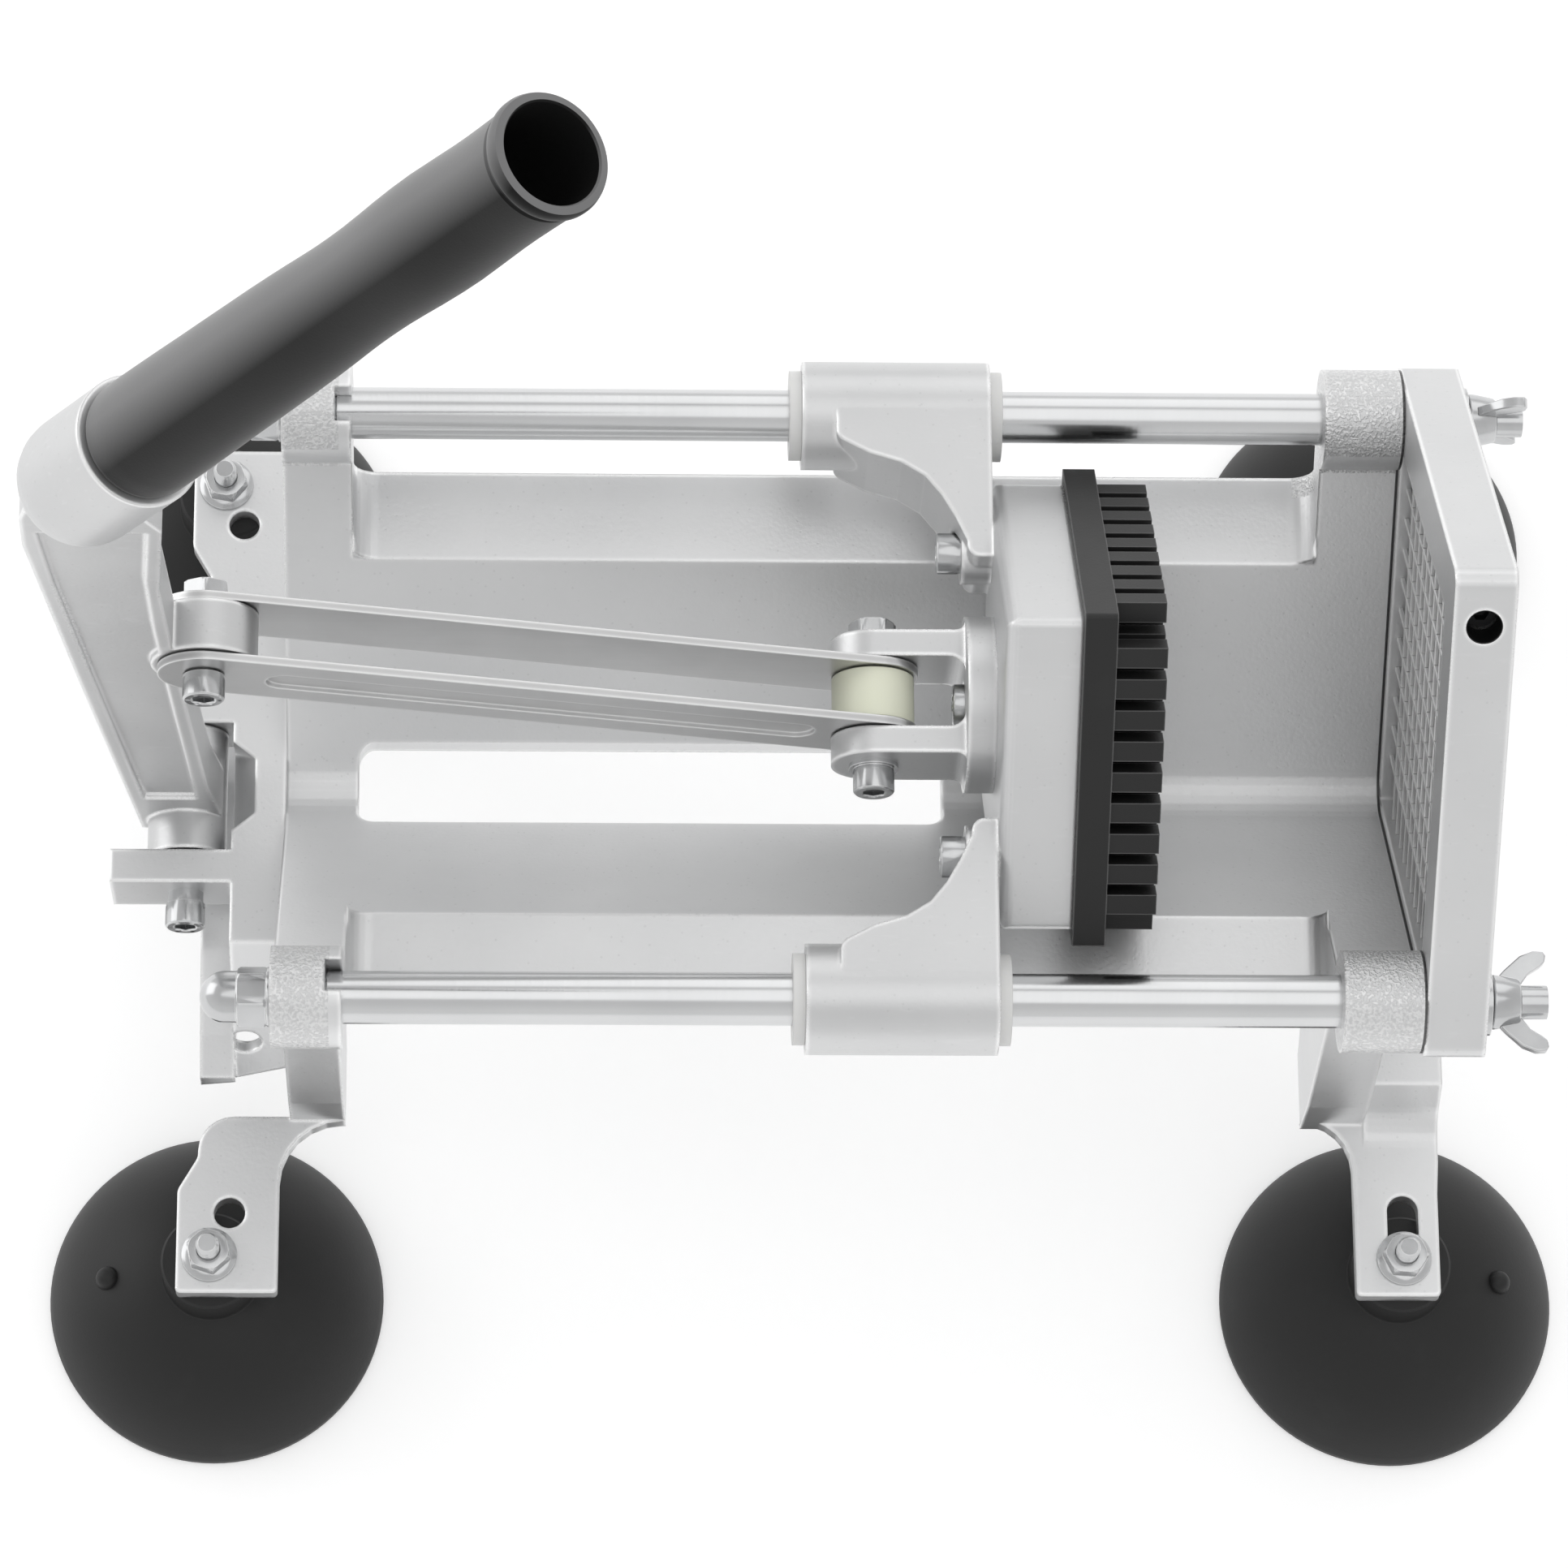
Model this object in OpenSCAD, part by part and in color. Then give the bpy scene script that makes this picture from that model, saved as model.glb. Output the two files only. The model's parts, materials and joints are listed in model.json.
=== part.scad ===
// Horizontal lever slicer for potatoes and other vegetables.
// A hinged lever pulls two stamped links, which slide a pusher along two
// guide rods and press the food, lying in a V-shaped trough, through a
// square blade grid that stands on its corner.
// Millimetres. X runs along the rods from the lever end (-) to the blade
// end (+), Y across the trough, Z up from the table.

/* [Rods and frame] */
// Diameter of the two guide rods
rod_d = 12.7; // [11:0.1:14]
// Half the distance between the rod axes
rod_half_gap = 75; // [74:0.5:78]
// Height of the rod axes above the table
rod_z = 170; // [166:1:176]
// Diameter of the thread on both rod ends
rod_thread_d = 8; // [7:0.5:9]
// Length of thread that stands out behind the rear frame
rear_thread_len = 11; // [9:1:14]
// Length of thread that stands out before the blade holder
front_thread_len = 12; // [10:1:16]
// X of the rear face of the rear frame
rear_frame_x = -132; // [-136:1:-130]
// Thickness of the rear frame along the rods
rear_frame_t = 17; // [14:1:20]
// X of the back face of the front frame
front_frame_x = 123; // [122.5:0.5:128]
// Thickness of the front frame along the rods
front_frame_t = 19.5; // [19.5:0.5:24]
// Radius of the four rod bosses
boss_r = 12.3; // [11:0.1:13.5]

/* [Trough] */
// Depth of the sharp V line below the rod axes
trough_drop = 70; // [66:1:74]
// Half width between the two bends of the trough
bend_half_w = 46; // [42:1:50]
// Half width over the flat side flanges
flange_half_w = 69; // [62:0.5:69]
// Wall of the trough sheet
trough_wall = 4.5; // [3:0.5:6]
// Inner radius along the bottom of the V
apex_r = 9; // [6:1:12]
// Width of the drain slot in the bottom of the V
slot_w = 21; // [14:1:26]
// Length of the drain slot
slot_len = 146; // [100:1:170]
// Depth of the V-shaped band of both end frames
band_depth = 12; // [9:1:14]

/* [Legs and feet] */
// Half distance between cup axes along the rods
cup_x = 151.9; // [151:0.1:153]
// Half distance between cup axes across the trough
cup_y = 104.8; // [100:0.1:105]
// Height of the foot pads' upper face
pad_z = 46; // [42:1:50]
// Thickness of the foot pads
pad_t = 5; // [4:0.5:6]
// Half width over the foot pads
pad_half_w = 114.5; // [112:0.5:120]
// Half distance between the spare holes of the rear feet
spare_half_gap = 93.7; // [91:0.1:94]
// Diameter of the spare holes
spare_hole_d = 8; // [6:0.5:9]
// Radius of a suction cup's lip
cup_r = 43.1; // [38:0.1:46]
// Height of the hollow under a suction cup
cup_hollow_h = 12; // [8:1:14]

/* [Blade unit] */
// Side of the square blade holder
holder_side = 127.5; // [124:0.5:134]
// Thickness of the blade holder
holder_t = 14.7; // [14:0.1:17]
// Distance between neighbouring blades
cell = 8.1; // [7.6:0.05:8.2]
// Number of cells along one side of the grid
cell_count = 11; // [9:1:11]
// Thickness of a blade
blade_t = 0.9; // [0.6:0.1:1.2]
// Depth of a blade along the rods
blade_depth = 10; // [8:0.5:11]

/* [Pusher] */
// Side of the square pin plate
plate_side = 87.5; // [84:0.5:87.5]
// Half diagonal of the pusher head
head_half = 57; // [52:0.5:58]
// Thickness of the pin plate
plate_t = 7.8; // [7:0.1:8]
// Side of one square pin
pin_side = 5.2; // [4:0.1:6]
// Length of the pins
pin_len = 12; // [8:0.5:12]
// X of the rear end of the carriage bushes
carriage_x = -8; // [-14:1:-8]
// Length of a carriage boss without its bush flanges
carriage_boss_len = 46; // [42:0.5:46.5]
// Radius of the carriage bosses
carriage_boss_r = 13.3; // [12.5:0.1:14]
// Depth of the square pusher head along the rods
head_t = 18.1; // [15:0.1:18.5]

/* [Lever] */
// X of the lever's pivot axis
pivot_x = -157; // [-160:0.5:-156.5]
// Height of the lever's pivot axis
pivot_z = 97.5; // [96:0.5:99]
// Height of the link lug above the pivot
crank_h = 113.8; // [110:0.1:118]
// Forward offset of the link lug from the pivot
crank_dx = 9.6; // [6:0.1:12]
// X of the clevis pin
clevis_x = 12; // [10:0.5:13]
// Depth of the clevis pin below the rod axes
clevis_drop = 0.5; // [0:0.5:3]
// Height of the grip's lower end above the pivot
grip_foot_h = 239; // [230:0.5:246]
// Lean of the grip from the vertical
grip_lean = 30.5; // [24:0.5:35]
// Length of the grip
grip_len = 178; // [160:1:196]
// Largest radius of the grip, at its lower end
grip_r = 13.8; // [12.5:0.1:15]
// Half thickness of the lever arm
arm_half_t = 6.2; // [5.5:0.1:7]
// Radius of the lever's pivot barrel
barrel_r = 9.85; // [9:0.05:10.2]
// Thickness of a link strap
strap_t = 2; // [1.5:0.1:2.5]
// Radius of a strap's ends
strap_r = 11; // [10.5:0.1:12]

/* [Hidden] */
$fn = 48;

// Clearances: fixed fit and running fit on the radius, space between
// moving pieces, and the overrun of every cut
seat = 0.05;
running = 0.05;
gap = 0.4;
over = 1;

// Colours
cast_c = "#d2d3d4";
plate_c = "#c9cacb";
steel_c = "#b9bcbe";
zinc_c = "#dfe0e0";
rubber_c = "#2f2f30";
pin_c = "#29292a";
grip_c = "#343536";
nylon_c = "#e9ebd5";
bush_c = "#e3e4e3";
blade_c = "#bfc2c4";

// M6 and M8 fasteners
m6_r = 3;
m6_head_r = 5;
m6_head_h = 6;
m6_key_af = 5;
m6_key_depth = 3;
m6_af = 10;
m6_nut_h = 5;
m6_washer_r = 6;
m6_flange_r = 7.1;
m6_flange_t = 1.4;
m8_af = 13;
washer_t = 1.1;
lock_washer_t = 3;
lock_washer_r = 4.4;

// Frame
rod_r = rod_d / 2;
thread_r = rod_thread_d / 2;
rod_seat_len = 4;
rear_face_x = rear_frame_x + rear_frame_t;
front_face_x = front_frame_x + front_frame_t;
holder_front_x = front_face_x + holder_t;
trough_apex_z = rod_z - trough_drop;
flange_z = trough_apex_z + bend_half_w;
flange_fillet = 6;
band_drop = band_depth * sqrt(2);
cradle_z = trough_apex_z - band_drop;
band_in_half = (rod_half_gap + rod_z - trough_apex_z) / 2;
band_out_half = (rod_half_gap + rod_z - cradle_z) / 2;
notch_out = 2;
slot_rear_gap = 1;
slot_corner_r = 4;
thread_end_gap = 1.5;

// Leg columns under the end frames, and the arch between the legs
column_setback = 3;
front_setback = 3.8;
leg_top_half = 58;
leg_waist_half = 69;
leg_waist_rise = 14.4;
leg_ankle_half = 69;
arch_r = 56;
arch_drop = 13;
arch_top_z = cradle_z - arch_drop;
foot_z = pad_z - pad_t;

// Rear leg frame: bridge plate, slopes, hinge lugs
bridge_rise = 7;
bridge_z = trough_apex_z + bridge_rise;
bridge_t = 11;
bridge_half_w = 41;
bridge_len = 13.5;
bridge_rear_x = rear_frame_x - bridge_len;
slope_foot_half = 68;
slope_wall = 4;
slope_end_rise = 11;
slope_end_tilt = 16;
slope_hole_d = 8;
slope_hole_rise = 26.4;
slope_hole_behind = 10.5;
rib_top_z = arch_top_z + 8;
rib_edge = 6.5;
rib_len = 8.8;
rib_back_x = bridge_rear_x - rib_len;
lug_gap = 0.5;
barrel_half = 16.3;
lug_in = barrel_half + lug_gap;
lug_t = 8.5;
lug_out = lug_in + lug_t;
lug_root = 4;
lug_back = 18.5;
lug_down = 9;
notch_gap = 0.65;
notch_x = pivot_x + barrel_r + notch_gap;
relief_len = 6.8;
relief_half = 7;
relief_splay = 5.5;
relief_tilt = 60;
relief_x = notch_x + relief_len;

// Foot pads: strap from the leg, then the pad under a cup's stud
strap_half_in = 60;
strap_neck_half = 68.2;
strap_neck_r = 9;
pad_shoulder_half = 79;
pad_shoulder_run = 8.6;
pad_corner_r = 1.2;
pad_notch_r = 4;
rear_strap_back = 3.4;
rear_pad_back = 8.4;
rear_pad_front = 17.3;
rear_pad_curve_r = 16;
rear_pad_curve_half = 69.2;
front_strap_front = 9.6;
front_pad_back = 12.3;
front_pad_front = 9.1;
front_pad_curve_r = 13;
front_pad_curve_half = 68;
foot_slot_d = 8;
foot_slot_in = 88.2;
foot_slot_out = 109.2;
riser_rise = 14;
riser_in_half = 52;
riser_out_half = 62.5;
riser_curve_r = 10;
spare_ahead = 4.9;

// Screws that hold the trough on the leg frames
leg_screw_y = 26;
leg_screw_head_z = arch_top_z + 2;
leg_screw_bite = 7;
leg_screw_top_z = cradle_z + leg_screw_y + leg_screw_bite;
rear_screw_x = rear_frame_x + (rear_frame_t - column_setback) / 2;
front_screw_x = front_face_x - (front_frame_t - front_setback) / 2;

// Suction cups
cup_lip_w = 5.1;
cup_lip_t = 2.5;
cup_dome_r = 45;
cup_neck_r = 13;
cup_neck_z = 30;
cup_hub_r = 12.6;
cup_nib_x = 27;
cup_nib_r = 3;
cup_nib_rise = 2.6;
stud_head_r = 8;
stud_head_t = 3;
stud_head_z = 27;
stud_over = 12;

// Blade unit
holder_corner_r = 4;
window_side = cell * cell_count + blade_t;
blade_inset = 3.3;
shoulder_t = 2.5;
blade_len = window_side + 2 * blade_inset;
blade_x = holder_front_x - shoulder_t - blade_depth;
set_hole_d = 8.3;
set_hole_run = 13.4;
set_hole_depth = 8;
set_screw_r = 3.5;
set_screw_len = 5;
wing_washer_r = 8;
wing_washer_t = 1.6;
wing_gap = 0.3;
wing_hub_r = 6.6;
wing_hub_top_r = 5.2;
wing_hub_len = 7;
wing_t = 2.8;
wing_span_half = 12.5;
wing_tip_r = 2.6;
wing_len = 13.5;
acorn_flange_r = 7.2;
acorn_flange_t = 1;
acorn_hex_len = 7;
acorn_dome_len = 9;
acorn_dome_r = 6.2;

// Pusher
bush_flange_t = 3;
bush_flange_r = 11;
bush_sleeve_r = 8.6;
bush_len = 15;
carriage_body_x = carriage_x + bush_flange_t;
arm_top_drop = 0.3;
arm_half_z = carriage_boss_r - arm_top_drop;
arm_in_half = 33.5;
head_x = carriage_body_x + carriage_boss_len;
head_rim_r = 3.6;
head_corner_r = 2.2;
// Rear outline of an arm, from the boss to the head: distance behind the
// head as a share of the boss length, and distance from the middle plane
// as a share of rod_half_gap
arm_shares = [
    [0.82, 0.86], [0.65, 0.805], [0.48, 0.773], [0.355, 0.725], [0.27, 0.66], [0.195, 0.58], [0.135, 0.5]
];
arm_corner_r = 3;
arm_root_r = 3;
head_screw_y = 39;
head_screw_boss_r = 7.5;
head_screw_boss_len = 7.3;
head_screw_room = 0.6;
head_screw_bite = 3.5;
clevis_disc_r = 21.4;
clevis_disc_t = 7;
clevis_screw_bite = 12;
plate_corner_r = 1.2;
plate_x = head_x + head_t;
pin_x = plate_x + plate_t;

// Clevis and roller
ear_in = arm_half_t + gap + strap_t + gap;
ear_t = 6.7;
ear_out = ear_in + ear_t;
ear_r = 10.3;
clevis_z = rod_z - clevis_drop;
clevis_base_x = head_x - clevis_disc_t;
ear_fillet_in = 4;
ear_fillet_out = 2.2;
clevis_well_r = m6_head_r + gap;
clevis_well_depth = 3.2;
roller_r = 10;

// Lever
bush_r = 5;
lug_r = 12.6;
grip_foot_dx = 1.4;
socket_r = 15.2;
socket_len = 26;
socket_sink = 2;
tube_r = 9.5;
tube_wall = 2;
tube_in_socket = 24;
tube_share = 0.82;
mouth_r = 10.3;
arm_rim = 3.5;
arm_recess = 1.6;
pocket_start = 17;
pocket_end = 40;
// Height and X of the arm's back and front edges, as shares of grip_foot_h
back_shares = [[-0.0204, -0.0486], [0.4115, -0.0846], [0.8006, -0.1148], [0.866, -0.113]];
fore_shares = [[0.0992, 0.0268], [0.3891, 0.0151], [0.678, 0.0071], [0.8356, 0.018]];

// Links
link_dx = clevis_x - pivot_x - crank_dx;
link_dz = clevis_z - pivot_z - crank_h;
link_len = norm([link_dx, link_dz]);
link_angle = atan2(link_dz, link_dx);
strap_in = arm_half_t + gap;
eye_half_w = 5.3;
eye_half_h = 9.1;
groove_w = 9;
groove_end = 19.5;
groove_depth = 1.2;

// A section (Y, Z) pushed along X, and a side view (X, Z) pushed along Y
module along_x(x0, run) translate([x0, 0, 0]) rotate([90, 0, 90]) linear_extrude(run) children();
module along_y(y0, run) translate([0, y0 + run, 0]) rotate([90, 0, 0]) linear_extrude(run) children();
module bar_x(x0, run, y, z, r) translate([x0, y, z]) rotate([0, 90, 0]) cylinder(r = r, h = run);
module bar_y(x, z, y0, run, r) translate([x, y0 + run, z]) rotate([90, 0, 0]) cylinder(r = r, h = run);
module hex(af, h) cylinder(r = af / (2 * cos(30)), h = h, $fn = 6);
module both_sides() {
    children();
    mirror([0, 1, 0]) children();
}
// The far piece as it is (side 1) or its twin on the near side (side -1)
module on_side(side) mirror([0, side < 0 ? 1 : 0, 0]) children();

// Outlines with rounded corners
function unit(v) = v / norm(v);
function turn(a) = a > 180 ? a - 360 : a < -180 ? a + 360 : a;
function arc(c, r, a, b, n = 6) =
    [for (i = [0:n]) let (t = a + (b - a) * i / n) c + r * [cos(t), sin(t)]];
function arc_from(c, s, e, n = 6) =
    let (a = atan2(s[1], s[0])) arc(c, norm(s), a, a + turn(atan2(e[1], e[0]) - a), n);
function corner(p0, p1, p2, r) =
    r == 0 ? [p1] :
    let (u = unit(p0 - p1), v = unit(p2 - p1), half = acos(u * v) / 2, c = p1 + unit(u + v) * r / sin(half))
    arc_from(c, p1 + u * r / tan(half) - c, p1 + v * r / tan(half) - c);
function rounded(pts, rads) = [
    for (i = [0:len(pts) - 1])
        each corner(pts[(i + len(pts) - 1) % len(pts)], pts[i], pts[(i + 1) % len(pts)], rads[i])
];
function mirrored(pts) = [for (i = [len(pts) - 1:-1:0]) [-pts[i][0], pts[i][1]]];
module corner_fill(p0, p1, p2, r)
    polygon(concat([p1 - over * unit(unit(p0 - p1) + unit(p2 - p1))], corner(p0, p1, p2, r)));
module diamond(side, r = 0)
    rotate(45) polygon(rounded(
        [[side / 2, side / 2], [-side / 2, side / 2], [-side / 2, -side / 2], [side / 2, -side / 2]],
        [r, r, r, r]));
function diamond_side(half, r) = sqrt(2) * (half + r * (sqrt(2) - 1));

// Cast trough with its two end frames and four rod bosses
module trough_section() {
    low_z = trough_apex_z - trough_wall * sqrt(2);
    low_flange_z = flange_z - trough_wall;
    low_bend_half = low_flange_z - low_z;
    polygon(rounded([
        [flange_half_w, flange_z], [bend_half_w, flange_z], [0, trough_apex_z],
        [-bend_half_w, flange_z], [-flange_half_w, flange_z], [-flange_half_w, low_flange_z],
        [-low_bend_half, low_flange_z], [0, low_z], [low_bend_half, low_flange_z],
        [flange_half_w, low_flange_z]
    ], [0, 0, apex_r, 0, 0, 0, 0, apex_r + trough_wall, 0, 0]));
}
module band_section()
    polygon(rounded([
        [band_in_half, trough_apex_z + band_in_half], [0, trough_apex_z],
        [-band_in_half, trough_apex_z + band_in_half], [-band_out_half, cradle_z + band_out_half],
        [0, cradle_z], [band_out_half, cradle_z + band_out_half]
    ], [0, apex_r, 0, 0, 0, 0]));
module end_frame(x0, t) {
    along_x(x0, t) band_section();
    both_sides() bar_x(x0, t, rod_half_gap, rod_z, boss_r);
}
module flange_fillet_at(x, dir)
    both_sides() along_y(bend_half_w, flange_half_w - bend_half_w)
        polygon(concat([[x, flange_z - over], [x + dir * flange_fillet, flange_z - over]],
            arc([x + dir * flange_fillet, flange_z + flange_fillet], flange_fillet,
                270, dir > 0 ? 180 : 360)));
module leg_screw_places(x) both_sides() translate([x, leg_screw_y, 0]) children();
module trough_body() color(cast_c) difference() {
    union() {
        along_x(rear_face_x, front_frame_x - rear_face_x) trough_section();
        end_frame(rear_frame_x, rear_frame_t);
        end_frame(front_frame_x, front_frame_t);
        flange_fillet_at(rear_face_x, 1);
        flange_fillet_at(front_frame_x, -1);
    }
    translate([rear_face_x + slot_rear_gap, -slot_w / 2, cradle_z]) linear_extrude(flange_z - cradle_z)
        polygon(rounded([[0, 0], [slot_len, 0], [slot_len, slot_w], [0, slot_w]],
            [slot_corner_r, slot_corner_r, slot_corner_r, slot_corner_r]));
    both_sides() {
        bar_x(rear_frame_x - over, rear_frame_t + 2 * over, rod_half_gap, rod_z, thread_r + seat);
        bar_x(front_frame_x - over, front_frame_t + 2 * over, rod_half_gap, rod_z, thread_r + seat);
        bar_x(rear_face_x - rod_seat_len, rod_seat_len + over, rod_half_gap, rod_z, rod_r + seat);
        bar_x(front_frame_x - over, rod_seat_len + over, rod_half_gap, rod_z, rod_r + seat);
        translate([rear_face_x - rod_seat_len, rod_half_gap - rod_r, rod_z])
            cube([rod_seat_len + over, rod_r + notch_out, boss_r + over]);
    }
    for (x = [rear_screw_x, front_screw_x])
        leg_screw_places(x) translate([0, 0, cradle_z])
            cylinder(r = m6_r + seat, h = leg_screw_top_z - cradle_z + seat);
}

// Leg frames: columns with an arch between them, straps and cup pads
module column_section() {
    half = [
        [leg_top_half, cradle_z + leg_top_half], [leg_waist_half, pad_z + leg_waist_rise],
        [leg_ankle_half, pad_z], [leg_ankle_half, foot_z]
    ];
    difference() {
        polygon(concat([[0, cradle_z]], half, mirrored(half)));
        translate([0, arch_top_z - arch_r]) circle(arch_r, $fn = 96);
    }
}
slope_end_z = pad_z + slope_end_rise;
function slope_y(z) =
    slope_foot_half - (z - pad_z) * (slope_foot_half - bridge_half_w) / (bridge_z - pad_z);
module saddle_section() {
    low = bridge_z - bridge_t;
    half = [
        [bridge_half_w, bridge_z], [slope_y(foot_z), foot_z],
        [slope_y(foot_z) - slope_wall, foot_z], [slope_y(low) - slope_wall, low]
    ];
    polygon(concat(half, mirrored(half)));
}
// Arched rib low behind the bridge plate, from slope to slope
module rib_section() {
    top = [slope_y(slope_end_z), slope_end_z + rib_edge];
    fall = rib_top_z - top[1];
    c = [0, rib_top_z - (pow(top[0], 2) + pow(fall, 2)) / (2 * fall)];
    difference() {
        polygon(concat(arc_from(c, top - c, [-top[0], top[1]] - c, 12),
            [[-top[0], slope_end_z], [top[0], slope_end_z]]));
        translate([0, arch_top_z - arch_r]) circle(arch_r, $fn = 96);
    }
}
module leg_screw_hole() {
    translate([0, 0, foot_z]) cylinder(r = m6_r + seat, h = leg_screw_top_z - foot_z);
    translate([0, 0, foot_z]) cylinder(r = m6_head_r + gap, h = leg_screw_head_z - foot_z);
}
module pad_plate(pts, rads) translate([0, 0, foot_z]) linear_extrude(pad_t) polygon(rounded(pts, rads));
module rear_leg_frame() color(cast_c) difference() {
    strap_back_x = -cup_x - rear_strap_back;
    pad_back_x = -cup_x - rear_pad_back;
    pad_front_x = -cup_x + rear_pad_front;
    column_front_x = rear_face_x - column_setback;
    union() {
        along_x(rear_frame_x, column_front_x - rear_frame_x) column_section();
        along_x(bridge_rear_x, rear_frame_x - bridge_rear_x) saddle_section();
        along_x(rib_back_x, rib_len) rib_section();
        both_sides() {
            translate([pivot_x - lug_back, lug_in, pivot_z - lug_down])
                cube([bridge_rear_x + lug_root - pivot_x + lug_back, lug_t, bridge_z - pivot_z + lug_down]);
            pad_plate([
                [column_front_x, strap_half_in], [column_front_x, rear_pad_curve_half],
                [pad_front_x, rear_pad_curve_half], [pad_front_x, pad_half_w], [pad_back_x, pad_half_w],
                [pad_back_x, pad_shoulder_half + pad_shoulder_run], [strap_back_x, pad_shoulder_half],
                [strap_back_x, strap_neck_half], [rear_frame_x, strap_neck_half],
                [rear_frame_x, strap_half_in]
            ], [0, 0, rear_pad_curve_r, pad_corner_r, pad_corner_r,
                pad_notch_r, pad_notch_r, strap_neck_r, 0, 0]);
        }
    }
    translate([bridge_rear_x - over, -lug_in, pivot_z - barrel_r - notch_gap])
        cube([max(notch_x, bridge_rear_x) - bridge_rear_x + over, 2 * lug_in,
            bridge_z - pivot_z + barrel_r + notch_gap + over]);
    // Open space between the slopes' ends and the straps of the feet
    along_y(-pad_half_w, 2 * pad_half_w) polygon([
        [rib_back_x - over, slope_end_z], [rear_frame_x, slope_end_z + (rear_frame_x - rib_back_x)
            * tan(slope_end_tilt)],
        [rear_frame_x, pad_z], [rib_back_x - over, pad_z]
    ]);
    // Same below the pads' upper face, between the straps
    along_y(-strap_neck_half, 2 * strap_neck_half) polygon([
        [rib_back_x - over, foot_z - over], [rear_frame_x, foot_z - over],
        [rear_frame_x, pad_z + over], [rib_back_x - over, pad_z + over]
    ]);
    // Room for the lever's root at the end of the stroke
    intersection() {
        translate([0, 0, bridge_z - bridge_t]) linear_extrude(bridge_t + over) polygon([
            [relief_x, relief_half], [notch_x, relief_half + relief_splay],
            [notch_x, -relief_half - relief_splay], [relief_x, -relief_half]
        ]);
        along_y(-lug_in, 2 * lug_in) polygon([
            [relief_x, bridge_z], [relief_x, bridge_z + over], [notch_x, bridge_z + over],
            [notch_x, bridge_z - relief_len * tan(relief_tilt)]
        ]);
    }
    bar_y(pivot_x, pivot_z, -lug_out - over, 2 * (lug_out + over), m6_r + seat);
    leg_screw_places(rear_screw_x) leg_screw_hole();
    both_sides() {
        slope_hole_z = pad_z + slope_hole_rise;
        translate([rear_frame_x - slope_hole_behind, slope_y(slope_hole_z), slope_hole_z])
            rotate([atan2(slope_foot_half - bridge_half_w, bridge_z - pad_z) - 90, 0, 0])
            cylinder(d = slope_hole_d, h = 3 * slope_wall, center = true);
        translate([-cup_x, cup_y, foot_z - over]) cylinder(r = m6_r + seat, h = pad_t + 2 * over);
        translate([-cup_x + spare_ahead, spare_half_gap, foot_z - over])
            cylinder(d = spare_hole_d, h = pad_t + 2 * over);
    }
}
module front_leg_frame() color(cast_c) difference() {
    strap_front_x = cup_x + front_strap_front;
    pad_back_x = cup_x - front_pad_back;
    pad_front_x = cup_x + front_pad_front;
    column_back_x = front_frame_x + front_setback;
    riser_z = pad_z + riser_rise;
    union() {
        along_x(column_back_x, front_face_x - column_back_x) column_section();
        both_sides() {
            along_x(front_face_x, strap_front_x - front_face_x) {
                polygon([
                    [riser_in_half, foot_z], [riser_in_half, riser_z], [riser_out_half, riser_z],
                    [leg_ankle_half, pad_z], [leg_ankle_half, foot_z]
                ]);
                corner_fill([riser_out_half, riser_z], [leg_ankle_half, pad_z],
                    [pad_half_w, pad_z], riser_curve_r);
            }
            pad_plate([
                [column_back_x, strap_half_in], [strap_front_x, strap_half_in],
                [strap_front_x, pad_shoulder_half], [pad_front_x, pad_shoulder_half + pad_shoulder_run],
                [pad_front_x, pad_half_w], [pad_back_x, pad_half_w],
                [pad_back_x, front_pad_curve_half], [column_back_x, front_pad_curve_half]
            ], [0, 0, 0, 0, pad_corner_r, pad_corner_r, front_pad_curve_r, 0]);
        }
    }
    leg_screw_places(front_screw_x) leg_screw_hole();
    both_sides() translate([cup_x, 0, foot_z - over]) {
        for (y = [foot_slot_in + foot_slot_d / 2, foot_slot_out - foot_slot_d / 2])
            translate([0, y, 0]) cylinder(d = foot_slot_d, h = pad_t + 2 * over);
        translate([-foot_slot_d / 2, foot_slot_in + foot_slot_d / 2, 0])
            cube([foot_slot_d, foot_slot_out - foot_slot_in - foot_slot_d, pad_t + 2 * over]);
    }
}
// Cap screw along +Z with its head's seat at the origin
module cap_screw(run) difference() {
    union() {
        cylinder(r = m6_r, h = run);
        translate([0, 0, -m6_head_h]) cylinder(r = m6_head_r, h = m6_head_h);
    }
    translate([0, 0, -m6_head_h - over]) hex(m6_key_af, m6_key_depth + over);
}
module leg_screws(x) color(zinc_c) leg_screw_places(x)
    translate([0, 0, leg_screw_head_z]) cap_screw(leg_screw_top_z - leg_screw_head_z);
module rear_leg_screws() leg_screws(rear_screw_x);
module front_leg_screws() leg_screws(front_screw_x);

// Guide rods with their acorn nuts
module guide_rod(side) color(steel_c) on_side(side) {
    bar_x(rear_face_x - rod_seat_len, front_frame_x - rear_face_x + 2 * rod_seat_len,
        rod_half_gap, rod_z, rod_r);
    thread_x = rear_frame_x - rear_thread_len;
    bar_x(thread_x, holder_front_x + front_thread_len - thread_x, rod_half_gap, rod_z, thread_r);
}
module guide_rod_near() guide_rod(-1);
module guide_rod_far() guide_rod(1);
module acorn_nut(side) color(zinc_c) on_side(side)
    translate([rear_frame_x, rod_half_gap, rod_z]) rotate([0, -90, 0]) difference() {
        body_h = acorn_flange_t + acorn_hex_len;
        union() {
            cylinder(r = acorn_flange_r, h = acorn_flange_t);
            rotate([0, 0, 90]) hex(m8_af, body_h);
            cylinder(r = acorn_dome_r, h = body_h + acorn_dome_len - acorn_dome_r);
            translate([0, 0, body_h + acorn_dome_len - acorn_dome_r]) sphere(acorn_dome_r);
        }
        translate([0, 0, -over]) cylinder(r = thread_r + seat, h = rear_thread_len + thread_end_gap + over);
    }
module acorn_nut_near() acorn_nut(-1);
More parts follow.
